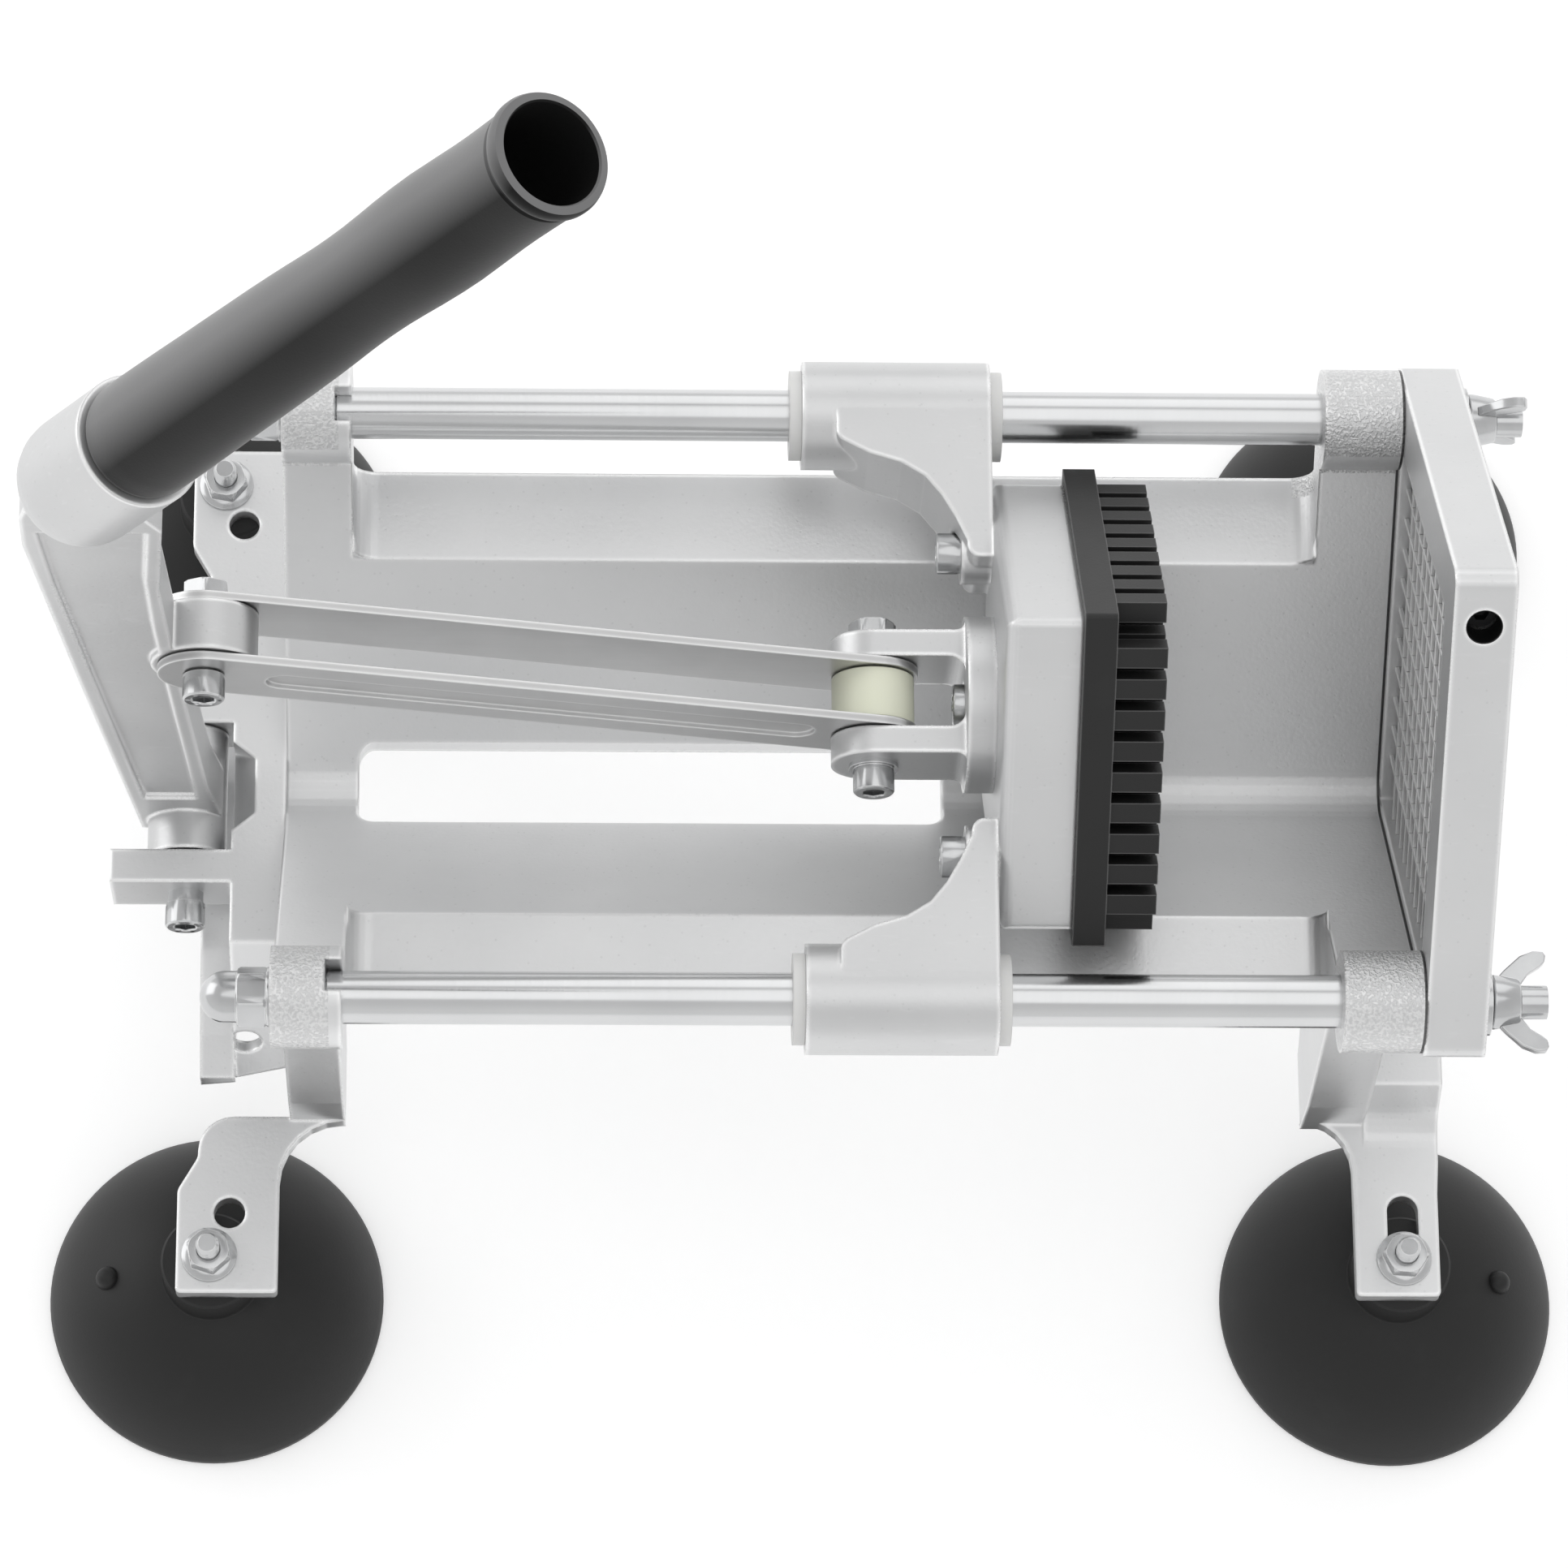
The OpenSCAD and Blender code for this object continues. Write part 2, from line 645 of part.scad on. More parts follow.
module acorn_nut_far() acorn_nut(1);

// Blade holder, standing on its corner, and the crossed blades in it
module blade_holder() color(cast_c) difference() {
    along_x(front_face_x, holder_t) translate([0, rod_z]) diamond(holder_side, holder_corner_r);
    along_x(front_face_x - over, holder_t + 2 * over) translate([0, rod_z]) diamond(window_side);
    along_x(front_face_x - over, holder_t - shoulder_t + over)
        translate([0, rod_z]) diamond(blade_len + 2 * seat);
    both_sides() bar_x(front_face_x - over, holder_t + 2 * over, rod_half_gap, rod_z, thread_r + seat);
    set_hole() {
        cylinder(d = set_hole_d, h = set_hole_depth + over);
        translate([0, 0, -set_screw_len]) cylinder(r = set_screw_r + seat, h = set_screw_len + over);
    }
}
module set_hole() translate([front_face_x + holder_t / 2, 0, rod_z]) rotate([45, 0, 0])
    translate([0, holder_side / 2 - set_hole_run, holder_side / 2 - set_hole_depth]) children();
module blade_set_screw() color(zinc_c) set_hole() difference() {
    translate([0, 0, -set_screw_len]) cylinder(r = set_screw_r, h = set_screw_len);
    translate([0, 0, -set_screw_len / 2]) hex(set_screw_r, set_screw_len);
}
blade_places = [for (i = [1:cell_count - 1]) (i - cell_count / 2) * cell];
// Comb outline: half-depth notches where the crossing blades pass
function comb(open_x, deep_x) = concat(
    [[open_x, -blade_len / 2]],
    [for (p = blade_places, s = [[0, -1], [1, -1], [1, 1], [0, 1]])
        [s[0] == 0 ? open_x : deep_x, p + s[1] * (blade_t / 2 + seat)]],
    [[open_x, blade_len / 2], [blade_depth - open_x, blade_len / 2], [blade_depth - open_x, -blade_len / 2]]);
module blade_set(tilt, open_x, deep_x) color(blade_c)
    translate([blade_x, 0, rod_z]) rotate([tilt, 0, 0])
    for (p = blade_places)
        translate([0, 0, p - blade_t / 2]) linear_extrude(blade_t) polygon(comb(open_x, deep_x));
module blades_rising() blade_set(45, 0, blade_depth / 2 + seat);
module blades_falling() blade_set(-45, blade_depth, blade_depth / 2 - seat);

// Washers and wing nuts that clamp the blade holder
wing_shares = [[0.06, 0.25], [0.06, 0.5], [0.5, 0.95], [1, 1], [1, 0.62], [0.52, 0.3]];
wing_radius_shares = [0, 0, 0.8, 0.9, 0.8, 0];
module wing_washer(side) color(zinc_c) on_side(side) difference() {
    bar_x(holder_front_x, wing_washer_t, rod_half_gap, rod_z, wing_washer_r);
    bar_x(holder_front_x - over, wing_washer_t + 2 * over, rod_half_gap, rod_z, thread_r + seat);
}
module wing_washer_near() wing_washer(-1);
module wing_washer_far() wing_washer(1);
module wing_nut(side, tilt) color(zinc_c)
    translate([holder_front_x + wing_washer_t + wing_gap, side * rod_half_gap, rod_z])
    rotate([tilt, 0, 0]) difference() {
        union() {
            rotate([0, 90, 0]) cylinder(r1 = wing_hub_r, r2 = wing_hub_top_r, h = wing_hub_len);
            both_sides() translate([0, 0, -wing_t / 2]) linear_extrude(wing_t)
                polygon(rounded([for (s = wing_shares) [s[0] * wing_len, s[1] * wing_span_half]],
                    wing_tip_r * wing_radius_shares));
        }
        bar_x(-over, wing_len + 2 * over, 0, 0, thread_r + running);
    }
module wing_nut_near() wing_nut(-1, 0);
module wing_nut_far() wing_nut(1, 90);

// Suction cups with moulded-in studs, and their nuts
cup_chord = [cup_neck_r - cup_r, cup_neck_z - cup_lip_t];
cup_dome_c = [(cup_neck_r + cup_r) / 2, (cup_neck_z + cup_lip_t) / 2]
    - sqrt(pow(cup_dome_r, 2) - pow(norm(cup_chord) / 2, 2)) * unit([cup_chord[1], -cup_chord[0]]);
cup_nib_z = cup_dome_c[1] + sqrt(pow(cup_dome_r, 2) - pow(cup_nib_x - cup_dome_c[0], 2));
module foot_place(end, side) translate([end * cup_x, side * cup_y, 0]) children();
module cup(end, side) color(rubber_c) foot_place(end, side) difference() {
    hollow_r = cup_r - cup_lip_w;
    hollow_curve_r = (pow(hollow_r, 2) + pow(cup_hollow_h, 2)) / (2 * cup_hollow_h);
    hollow_c = [0, cup_hollow_h - hollow_curve_r];
    union() {
        rotate_extrude($fn = 64) polygon(concat(
            [[cup_r, 0]],
            arc_from(cup_dome_c, [cup_r, cup_lip_t] - cup_dome_c, [cup_neck_r, cup_neck_z] - cup_dome_c),
            [[cup_hub_r, cup_neck_z], [cup_hub_r, foot_z], [0, foot_z]],
            arc_from(hollow_c, [0, cup_hollow_h] - hollow_c, [hollow_r, 0] - hollow_c, 5)));
        translate([-end * cup_nib_x, 0, cup_hollow_h]) cylinder(r = cup_nib_r, h = cup_nib_z - cup_hollow_h);
        translate([-end * cup_nib_x, 0, cup_nib_z]) sphere(cup_nib_r);
    }
    translate([0, 0, stud_head_z]) cylinder(r = m6_r + seat, h = foot_z);
    translate([0, 0, stud_head_z]) cylinder(r = stud_head_r + seat, h = stud_head_t + seat);
}
module stud(end, side) color(zinc_c) foot_place(end, side) translate([0, 0, stud_head_z]) {
    cylinder(r = m6_r, h = pad_z + stud_over - stud_head_z);
    cylinder(r = stud_head_r, h = stud_head_t);
}
module stud_nut(end, side) color(zinc_c) foot_place(end, side) translate([0, 0, pad_z]) difference() {
    union() {
        cylinder(r = m6_flange_r, h = m6_flange_t);
        hex(m6_af, m6_flange_t + m6_nut_h);
    }
    translate([0, 0, -over]) cylinder(r = m6_r + seat, h = m6_flange_t + m6_nut_h + 2 * over);
}
module cup_rear_near() cup(-1, -1);
module cup_rear_far() cup(-1, 1);
module cup_front_near() cup(1, -1);
module cup_front_far() cup(1, 1);
module stud_rear_near() stud(-1, -1);
module stud_rear_far() stud(-1, 1);
module stud_front_near() stud(1, -1);
module stud_front_far() stud(1, 1);
module nut_rear_near() stud_nut(-1, -1);
module nut_rear_far() stud_nut(-1, 1);
module nut_front_near() stud_nut(1, -1);
module nut_front_far() stud_nut(1, 1);

// Hinge bolt and nut in the lugs of the rear leg frame
module pivot_bolt() color(zinc_c) {
    translate([pivot_x, -lug_out - lock_washer_t, pivot_z]) rotate([-90, 0, 0])
        cap_screw(2 * lug_out + lock_washer_t + m6_nut_h + over);
    bar_y(pivot_x, pivot_z, -lug_out - lock_washer_t, lock_washer_t, lock_washer_r);
}
module pivot_nut() color(zinc_c) difference() {
    translate([pivot_x, lug_out + m6_nut_h, pivot_z]) rotate([90, 0, 0]) hex(m6_af, m6_nut_h);
    bar_y(pivot_x, pivot_z, lug_out - over, m6_nut_h + 2 * over, m6_r + seat);
}

// Pusher carriage: two long bosses, arms that sweep in to the square head,
// and the head itself, with a rounded rear rim, which carries the pin block
module head_rim(turn_by) translate([0, 0, rod_z]) rotate([45 + turn_by, 0, 0])
    along_y(-head_half, 2 * head_half) {
        edge_z = diamond_side(head_half, head_corner_r) / 2;
        c = [head_x + head_rim_r, edge_z - head_rim_r];
        polygon(concat(arc(c, head_rim_r, 90, 180), [
            [head_x - over, c[1]], [head_x - over, edge_z + over], [c[0], edge_z + over]
        ]));
    }
module carriage_arm() translate([0, 0, rod_z - arm_half_z]) linear_extrude(2 * arm_half_z)
    polygon(rounded(concat(
        [[head_x, arm_in_half], [head_x, rod_half_gap],
            [head_x - arm_shares[0][0] * carriage_boss_len, rod_half_gap]],
        [for (p = arm_shares) [head_x - p[0] * carriage_boss_len, p[1] * rod_half_gap]],
        [[head_x - arm_shares[6][0] * carriage_boss_len, arm_in_half]]),
        [0, 0, 0, arm_corner_r, 0, 0, 0, 0, 0, 0, arm_root_r]));
module pusher_carriage() color(cast_c) difference() {
    union() {
        both_sides() {
            bar_x(carriage_body_x, carriage_boss_len, rod_half_gap, rod_z, carriage_boss_r);
            carriage_arm();
            bar_x(head_x - head_screw_boss_len, head_screw_boss_len + over, head_screw_y, rod_z,
                head_screw_boss_r);
        }
        difference() {
            along_x(head_x, head_t) translate([0, rod_z])
                diamond(diamond_side(head_half, head_corner_r), head_corner_r);
            for (i = [0:3]) head_rim(90 * i);
        }
    }
    bar_x(head_x - over, clevis_screw_bite + over, 0, clevis_z, m6_r + seat);
    both_sides() {
        bar_x(carriage_body_x - over, carriage_boss_len + 2 * over, rod_half_gap, rod_z,
            bush_sleeve_r + seat);
        bar_x(head_x - head_screw_boss_len - over, head_screw_boss_len + head_t + 2 * over,
            head_screw_y, rod_z, m6_r + seat);
        bar_x(carriage_body_x, head_x - head_screw_boss_len - carriage_body_x, head_screw_y, rod_z,
            m6_head_r + head_screw_room);
    }
}
// Flanged bush; dir 1 has its flange at the rear end of a boss
module bush(side, x, dir) color(bush_c) on_side(side)
    translate([x, rod_half_gap, rod_z]) rotate([0, dir * 90, 0]) difference() {
        union() {
            cylinder(r = bush_sleeve_r, h = bush_len);
            translate([0, 0, -bush_flange_t]) cylinder(r = bush_flange_r, h = bush_flange_t);
        }
        translate([0, 0, -bush_flange_t - over])
            cylinder(r = rod_r + running, h = bush_len + bush_flange_t + 2 * over);
    }
module bush_near_rear() bush(-1, carriage_body_x, 1);
module bush_near_front() bush(-1, carriage_body_x + carriage_boss_len, -1);
module bush_far_rear() bush(1, carriage_body_x, 1);
module bush_far_front() bush(1, carriage_body_x + carriage_boss_len, -1);
module screw_x(x, y, z, run) color(zinc_c) translate([x, y, z]) rotate([0, 90, 0]) cap_screw(run);
module head_screw(side)
    screw_x(head_x - head_screw_boss_len, side * head_screw_y, rod_z,
        head_t + head_screw_boss_len + head_screw_bite);
module head_screw_near() head_screw(-1);
module head_screw_far() head_screw(1);
pin_places = [for (i = [0:cell_count - 1]) (i - (cell_count - 1) / 2) * cell];
module pin_block() color(pin_c) {
    last = pin_places[cell_count - 1] - cell / 2;
    difference() {
        along_x(plate_x, plate_t) translate([0, rod_z]) diamond(plate_side, plate_corner_r);
        both_sides() bar_x(plate_x - over, head_screw_bite + over + seat, head_screw_y, rod_z, m6_r + seat);
    }
    translate([pin_x - plate_t / 2, 0, rod_z]) rotate([45, 0, 0])
        for (u = pin_places, v = pin_places)
            if (abs(u) < last || abs(v) < last)
                translate([0, u - pin_side / 2, v - pin_side / 2])
                    cube([pin_len + plate_t / 2, pin_side, pin_side]);
}

// Clevis on the carriage, its bolt and the roller between the links
module clevis() color(cast_c) difference() {
    union() {
        bar_x(clevis_base_x, clevis_disc_t, 0, clevis_z, clevis_disc_r);
        both_sides() {
            bar_y(clevis_x, clevis_z, ear_in, ear_t, ear_r);
            translate([clevis_x, ear_in, clevis_z - ear_r])
                cube([clevis_base_x - clevis_x + over, ear_t, 2 * ear_r]);
            translate([0, 0, clevis_z - ear_r]) linear_extrude(2 * ear_r) {
                corner_fill([clevis_x, ear_in], [clevis_base_x, ear_in], [clevis_base_x, 0], ear_fillet_in);
                corner_fill([clevis_x, ear_out], [clevis_base_x, ear_out],
                    [clevis_base_x, clevis_disc_r], ear_fillet_out);
            }
        }
    }
    bar_y(clevis_x, clevis_z, -ear_out - over, 2 * (ear_out + over), m6_r + seat);
    bar_x(clevis_base_x - over, clevis_disc_t + 2 * over, 0, clevis_z, m6_r + seat);
    bar_x(clevis_base_x - over, clevis_well_depth + over, 0, clevis_z, clevis_well_r);
}
module clevis_screw()
    screw_x(clevis_base_x + clevis_well_depth, 0, clevis_z,
        clevis_disc_t - clevis_well_depth + clevis_screw_bite - over);
module clevis_bolt() color(zinc_c) {
    translate([clevis_x, -ear_out - washer_t, clevis_z]) rotate([-90, 0, 0])
        cap_screw(2 * ear_out + washer_t + m6_nut_h + over);
    bar_y(clevis_x, clevis_z, -ear_out - washer_t, washer_t, m6_washer_r);
}
module clevis_nut() color(zinc_c) difference() {
    translate([clevis_x, ear_out + m6_nut_h, clevis_z]) rotate([90, 30, 0]) hex(m6_af, m6_nut_h);
    bar_y(clevis_x, clevis_z, ear_out - over, m6_nut_h + 2 * over, m6_r + seat);
}
module nylon_roller() color(nylon_c) difference() {
    bar_y(clevis_x, clevis_z, -arm_half_t, 2 * arm_half_t, roller_r);
    bar_y(clevis_x, clevis_z, -arm_half_t - over, 2 * (arm_half_t + over), m6_r + running);
}

// Lever: cast arm, hinge bush, steel tube and moulded grip
lug_x = pivot_x + crank_dx;
lug_z = pivot_z + crank_h;
grip_foot = [pivot_x + grip_foot_dx, 0, pivot_z + grip_foot_h];
module along_grip(t) translate(grip_foot) rotate([0, grip_lean, 0]) translate([0, 0, t]) children();
function grip_xz(t, r) = [grip_foot[0], grip_foot[2]]
    + t * [sin(grip_lean), cos(grip_lean)] + r * [cos(grip_lean), -sin(grip_lean)];
function edge_x(shares, h) = pivot_x + grip_foot_h * lookup(h / grip_foot_h, shares);
function edge_point(s) = [pivot_x + grip_foot_h * s[1], pivot_z + grip_foot_h * s[0]];
module arm_outline() polygon(concat(
    [[pivot_x, pivot_z] + barrel_r * [cos(250), sin(250)]],
    [for (s = back_shares) edge_point(s)],
    [for (p = [[-socket_len, -1], [-socket_sink, -1], [-socket_sink, 1], [-socket_len, 1]])
        grip_xz(p[0], p[1] * (socket_r - socket_sink))],
    [for (i = [len(fore_shares) - 1:-1:0]) edge_point(fore_shares[i])],
    [[pivot_x, pivot_z] + barrel_r * [cos(25), sin(25)]]));
module arm_pocket(h0, h1) {
    steps = [for (i = [0:6]) h0 + (h1 - h0) * i / 6];
    both_sides() along_y(arm_half_t - arm_recess, arm_recess + over)
        polygon(concat(
            [for (h = steps) [edge_x(back_shares, h) + arm_rim, pivot_z + h]],
            [for (i = [6:-1:0]) [edge_x(fore_shares, steps[i]) - arm_rim, pivot_z + steps[i]]]));
}
module lever_arm() color(cast_c) difference() {
    union() {
        difference() {
            along_y(-arm_half_t, 2 * arm_half_t) arm_outline();
            arm_pocket(pocket_start, grip_foot_h - pocket_end);
        }
        bar_y(lug_x, lug_z, -arm_half_t, 2 * arm_half_t, lug_r);
        bar_y(pivot_x, pivot_z, -barrel_half, 2 * barrel_half, barrel_r);
        along_grip(-socket_len) rotate_extrude()
            polygon(concat(arc([0, 0], socket_r, -90, 0, 8), [[socket_r, socket_len], [0, socket_len]]));
    }
    bar_y(pivot_x, pivot_z, -barrel_half - over, 2 * (barrel_half + over), bush_r + seat);
    bar_y(lug_x, lug_z, -arm_half_t - over, 2 * (arm_half_t + over), m6_r + seat);
    along_grip(-tube_in_socket) cylinder(r = tube_r + seat, h = tube_in_socket + over);
}
module pivot_bush() color(steel_c) difference() {
    bar_y(pivot_x, pivot_z, -barrel_half, 2 * barrel_half, bush_r);
    bar_y(pivot_x, pivot_z, -barrel_half - over, 2 * (barrel_half + over), m6_r + running);
}
module handle_tube() color(steel_c) along_grip(-tube_in_socket) difference() {
    run = tube_in_socket + grip_len * tube_share;
    cylinder(r = tube_r, h = run);
    translate([0, 0, -over]) cylinder(r = tube_r - tube_wall, h = run + 2 * over);
}
// Grip outline: height and radius as shares of grip_len and grip_r
grip_shares = [
    [0, 0.94], [0.012, 1], [0.09, 0.993], [0.2, 0.97], [0.31, 0.95], [0.42, 0.924], [0.5, 0.888],
    [0.55, 0.873], [0.6, 0.876], [0.66, 0.906], [0.71, 0.928], [0.76, 0.935], [0.81, 0.917],
    [0.86, 0.9], [0.92, 0.903], [0.975, 0.92], [0.995, 0.91], [1, 0.88]
];
module handle_grip() color(grip_c) along_grip(0) rotate_extrude() polygon(concat(
    [[tube_r + seat, 0]],
    [for (s = grip_shares) [s[1] * grip_r, s[0] * grip_len]],
    [[mouth_r, grip_len], [mouth_r, grip_len * tube_share], [tube_r + seat, grip_len * tube_share]]));

// Links: two stamped straps, the bolt and nut at the lever's lug
module link_bolt() color(zinc_c)
    translate([lug_x, -strap_in - strap_t - gap, lug_z]) rotate([-90, 0, 0])
    cap_screw(2 * (strap_in + strap_t + gap) + m6_nut_h + over);
module link_nut() color(zinc_c) difference() {
    translate([lug_x, strap_in + strap_t + gap + m6_nut_h, lug_z]) rotate([90, 0, 0]) hex(m6_af, m6_nut_h);
    bar_y(lug_x, lug_z, strap_in + strap_t, m6_nut_h + over + gap, m6_r + seat);
}
module link_strap(side) color(steel_c) on_side(side)
    translate([lug_x, 0, lug_z]) rotate([0, -link_angle, 0]) difference() {
        union() {
            bar_y(0, 0, strap_in, strap_t, strap_r);
            bar_y(link_len, 0, strap_in, strap_t, strap_r);
            translate([0, strap_in, -strap_r]) cube([link_len, strap_t, 2 * strap_r]);
        }
        bar_y(0, 0, strap_in - over, strap_t + 2 * over, m6_r + running);
        for (z = [eye_half_w - eye_half_h, eye_half_h - eye_half_w])
            bar_y(link_len, z, strap_in - over, strap_t + 2 * over, eye_half_w);
        translate([link_len - eye_half_w, strap_in - over, eye_half_w - eye_half_h])
            cube([2 * eye_half_w, strap_t + 2 * over, 2 * (eye_half_h - eye_half_w)]);
        along_y(strap_in + strap_t - groove_depth, groove_depth + over) {
            translate([groove_end, -groove_w / 2]) square([link_len - 2 * groove_end, groove_w]);
            for (x = [groove_end, link_len - groove_end]) translate([x, 0]) circle(groove_w / 2);
        }
    }
module link_strap_near() link_strap(-1);
module link_strap_far() link_strap(1);

trough_body();
rear_leg_frame();
front_leg_frame();
rear_leg_screws();
front_leg_screws();
guide_rod_near();
guide_rod_far();
acorn_nut_near();
acorn_nut_far();
blade_holder();
blades_rising();
blades_falling();
blade_set_screw();
wing_washer_near();
wing_washer_far();
wing_nut_near();
wing_nut_far();
cup_rear_near();
cup_rear_far();
cup_front_near();
cup_front_far();
stud_rear_near();
stud_rear_far();
stud_front_near();
stud_front_far();
nut_rear_near();
nut_rear_far();
nut_front_near();
nut_front_far();
pivot_bolt();
pivot_nut();
pusher_carriage();
bush_near_rear();
bush_near_front();
bush_far_rear();
bush_far_front();
pin_block();
head_screw_near();
head_screw_far();
clevis();
clevis_screw();
clevis_bolt();
clevis_nut();
nylon_roller();
lever_arm();
pivot_bush();
handle_tube();
handle_grip();
link_bolt();
link_nut();
link_strap_near();
link_strap_far();
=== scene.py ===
"""Looks of the lever slicer for potatoes and other vegetables."""

import json
import math

import bmesh
import bpy
from mathutils import Matrix, Vector


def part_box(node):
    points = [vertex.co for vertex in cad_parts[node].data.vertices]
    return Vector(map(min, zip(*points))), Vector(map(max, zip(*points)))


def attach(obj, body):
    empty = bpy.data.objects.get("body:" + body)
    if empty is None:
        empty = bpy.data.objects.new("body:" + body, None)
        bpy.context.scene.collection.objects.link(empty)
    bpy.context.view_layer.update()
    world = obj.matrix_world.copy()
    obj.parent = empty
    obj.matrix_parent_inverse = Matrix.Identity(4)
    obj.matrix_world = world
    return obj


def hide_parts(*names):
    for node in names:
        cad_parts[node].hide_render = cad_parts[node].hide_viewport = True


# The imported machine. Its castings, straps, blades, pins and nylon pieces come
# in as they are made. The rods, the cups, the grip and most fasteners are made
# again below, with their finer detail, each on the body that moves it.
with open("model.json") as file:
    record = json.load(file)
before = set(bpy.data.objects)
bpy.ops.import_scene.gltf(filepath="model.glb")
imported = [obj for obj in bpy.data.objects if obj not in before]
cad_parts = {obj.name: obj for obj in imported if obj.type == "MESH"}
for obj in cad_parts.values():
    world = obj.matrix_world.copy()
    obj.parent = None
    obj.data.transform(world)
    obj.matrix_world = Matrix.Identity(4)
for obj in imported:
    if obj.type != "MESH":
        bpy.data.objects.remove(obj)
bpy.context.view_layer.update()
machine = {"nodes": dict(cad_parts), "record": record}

# The camera: a long lens high above the near side, square to the guide rods
# but for a few degrees. The rows are its right, its up and its back.
long_lens = bpy.data.cameras.new("studio_camera")
long_lens.lens = 157.25
long_lens.sensor_width = 36
long_lens.clip_end = 20
camera_place = Matrix.Translation((-0.0619, -0.5622, 1.7281))
camera_axes = Matrix((
    (0.99949, -0.00538, 0.03165),
    (-0.00531, 0.94462, 0.32812),
    (-0.03166, -0.32812, 0.94410)))
camera = bpy.data.objects.new("studio_camera", long_lens)
bpy.context.collection.objects.link(camera)
camera.matrix_world = camera_place @ camera_axes.transposed().to_4x4()
bpy.context.scene.camera = camera
bpy.context.scene.view_settings.view_transform = "Standard"


# The table under the machine: white paper, matt, which keeps the machine's
# shadow and is otherwise as white as the sheet round a product.
class Wire:
    """One socket's value; sums written with it add their Math nodes."""

    def __init__(self, sheet, socket):
        self.sheet = sheet
        self.socket = socket

    def math(self, operation, first, second=0.0):
        return self.sheet.node("ShaderNodeMath", {"operation": operation}, {0: first, 1: second})

    def __add__(self, other):
        return self.math("ADD", self, other)

    def __radd__(self, other):
        return self.math("ADD", other, self)

    def __sub__(self, other):
        return self.math("SUBTRACT", self, other)

    def __rsub__(self, other):
        return self.math("SUBTRACT", other, self)

    def __mul__(self, other):
        return self.math("MULTIPLY", self, other)

    def __rmul__(self, other):
        return self.math("MULTIPLY", other, self)

    def __gt__(self, other):
        return self.math("GREATER_THAN", self, other)

    def __lt__(self, other):
        return self.math("LESS_THAN", self, other)

    def __abs__(self):
        return self.math("ABSOLUTE", self)


class Sheet:
    """One material and every node in it."""

    def __init__(self, name):
        self.material = bpy.data.materials.new(name)
        self.material.use_nodes = True
        self.tree = self.material.node_tree
        self.surface = self.tree.nodes["Principled BSDF"]

    def node(self, kind, settings=None, sockets=None, out=0):
        """Add a node: its type, its settings, its sockets' values or links"""
        made = self.tree.nodes.new(kind)
        for key, value in (settings or {}).items():
            if key == "stops":
                ramp = made.color_ramp.elements
                while len(ramp) < len(value):
                    ramp.new(0.5)
                for stop, (place, shade) in zip(ramp, value):
                    stop.position = place
                    stop.color = (shade, shade, shade, 1)
            else:
                setattr(made, key, value)
        self.feed(made, sockets or {})
        return Wire(self, made.outputs[out])

    def feed(self, made, sockets):
        for key, value in sockets.items():
            if isinstance(value, Wire):
                self.tree.links.new(value.socket, made.inputs[key])
            elif isinstance(value, tuple) and len(value) == 3 and made.inputs[key].type == "RGBA":
                made.inputs[key].default_value = (*value, 1)
            else:
                made.inputs[key].default_value = value

    def place(self):
        return self.node("ShaderNodeTexCoord", out="Object")

    def along(self, axis):
        return self.node("ShaderNodeSeparateXYZ", {}, {0: self.place()}, axis)

    def stretched(self, scale):
        return self.node("ShaderNodeMapping", {}, {"Vector": self.place(), "Scale": scale})

    def noise(self, scale, detail, at=None):
        return self.node("ShaderNodeTexNoise", {}, {
            "Vector": at or self.place(), "Scale": scale, "Detail": detail})

    def ramp(self, value, *stops):
        return self.node("ShaderNodeValToRGB", {"stops": stops}, {0: value})

    def mix(self, share, first, second):
        sockets = {0: share, 6: first, 7: second}
        return self.node("ShaderNodeMix", {"data_type": "RGBA"}, sockets, out=2)

    def bump(self, height, depth, strength, normal=None):
        sockets = {"Height": height, "Distance": depth, "Strength": strength}
        if normal:
            sockets["Normal"] = normal
        return self.node("ShaderNodeBump", {}, sockets)

    def rounded(self, radius):
        return self.node("ShaderNodeBevel", {"samples": 6}, {"Radius": radius})

    def vector(self, operation, first, second=None, out="Vector"):
        sockets = {0: first}
        if second is not None:
            sockets[1] = second
        return self.node("ShaderNodeVectorMath", {"operation": operation}, sockets, out)

    def facing(self, way):
        """1 where the surface faces that way in the piece's own frame"""
        normal = self.node("ShaderNodeTexCoord", out="Normal")
        return self.vector("DOT_PRODUCT", normal, way, "Value")

    def from_axis(self, point, way):
        """Distance from an axis through the point"""
        reach = self.vector("SUBTRACT", self.place(), point)
        across = self.vector("CROSS_PRODUCT", reach, way)
        return self.vector("LENGTH", across, out="Value")

    def edges(self, radius):
        """1 along edges and corners, 0 on faces"""
        normal = self.node("ShaderNodeNewGeometry", out="Normal")
        bent = self.vector("DOT_PRODUCT", self.rounded(radius), normal, "Value")
        return self.ramp(bent, (0.9, 1.0), (0.995, 0.0))

    def done(self, **sockets):
        self.feed(self.surface, {key.replace("_", " "): value for key, value in sockets.items()})
        return self.material


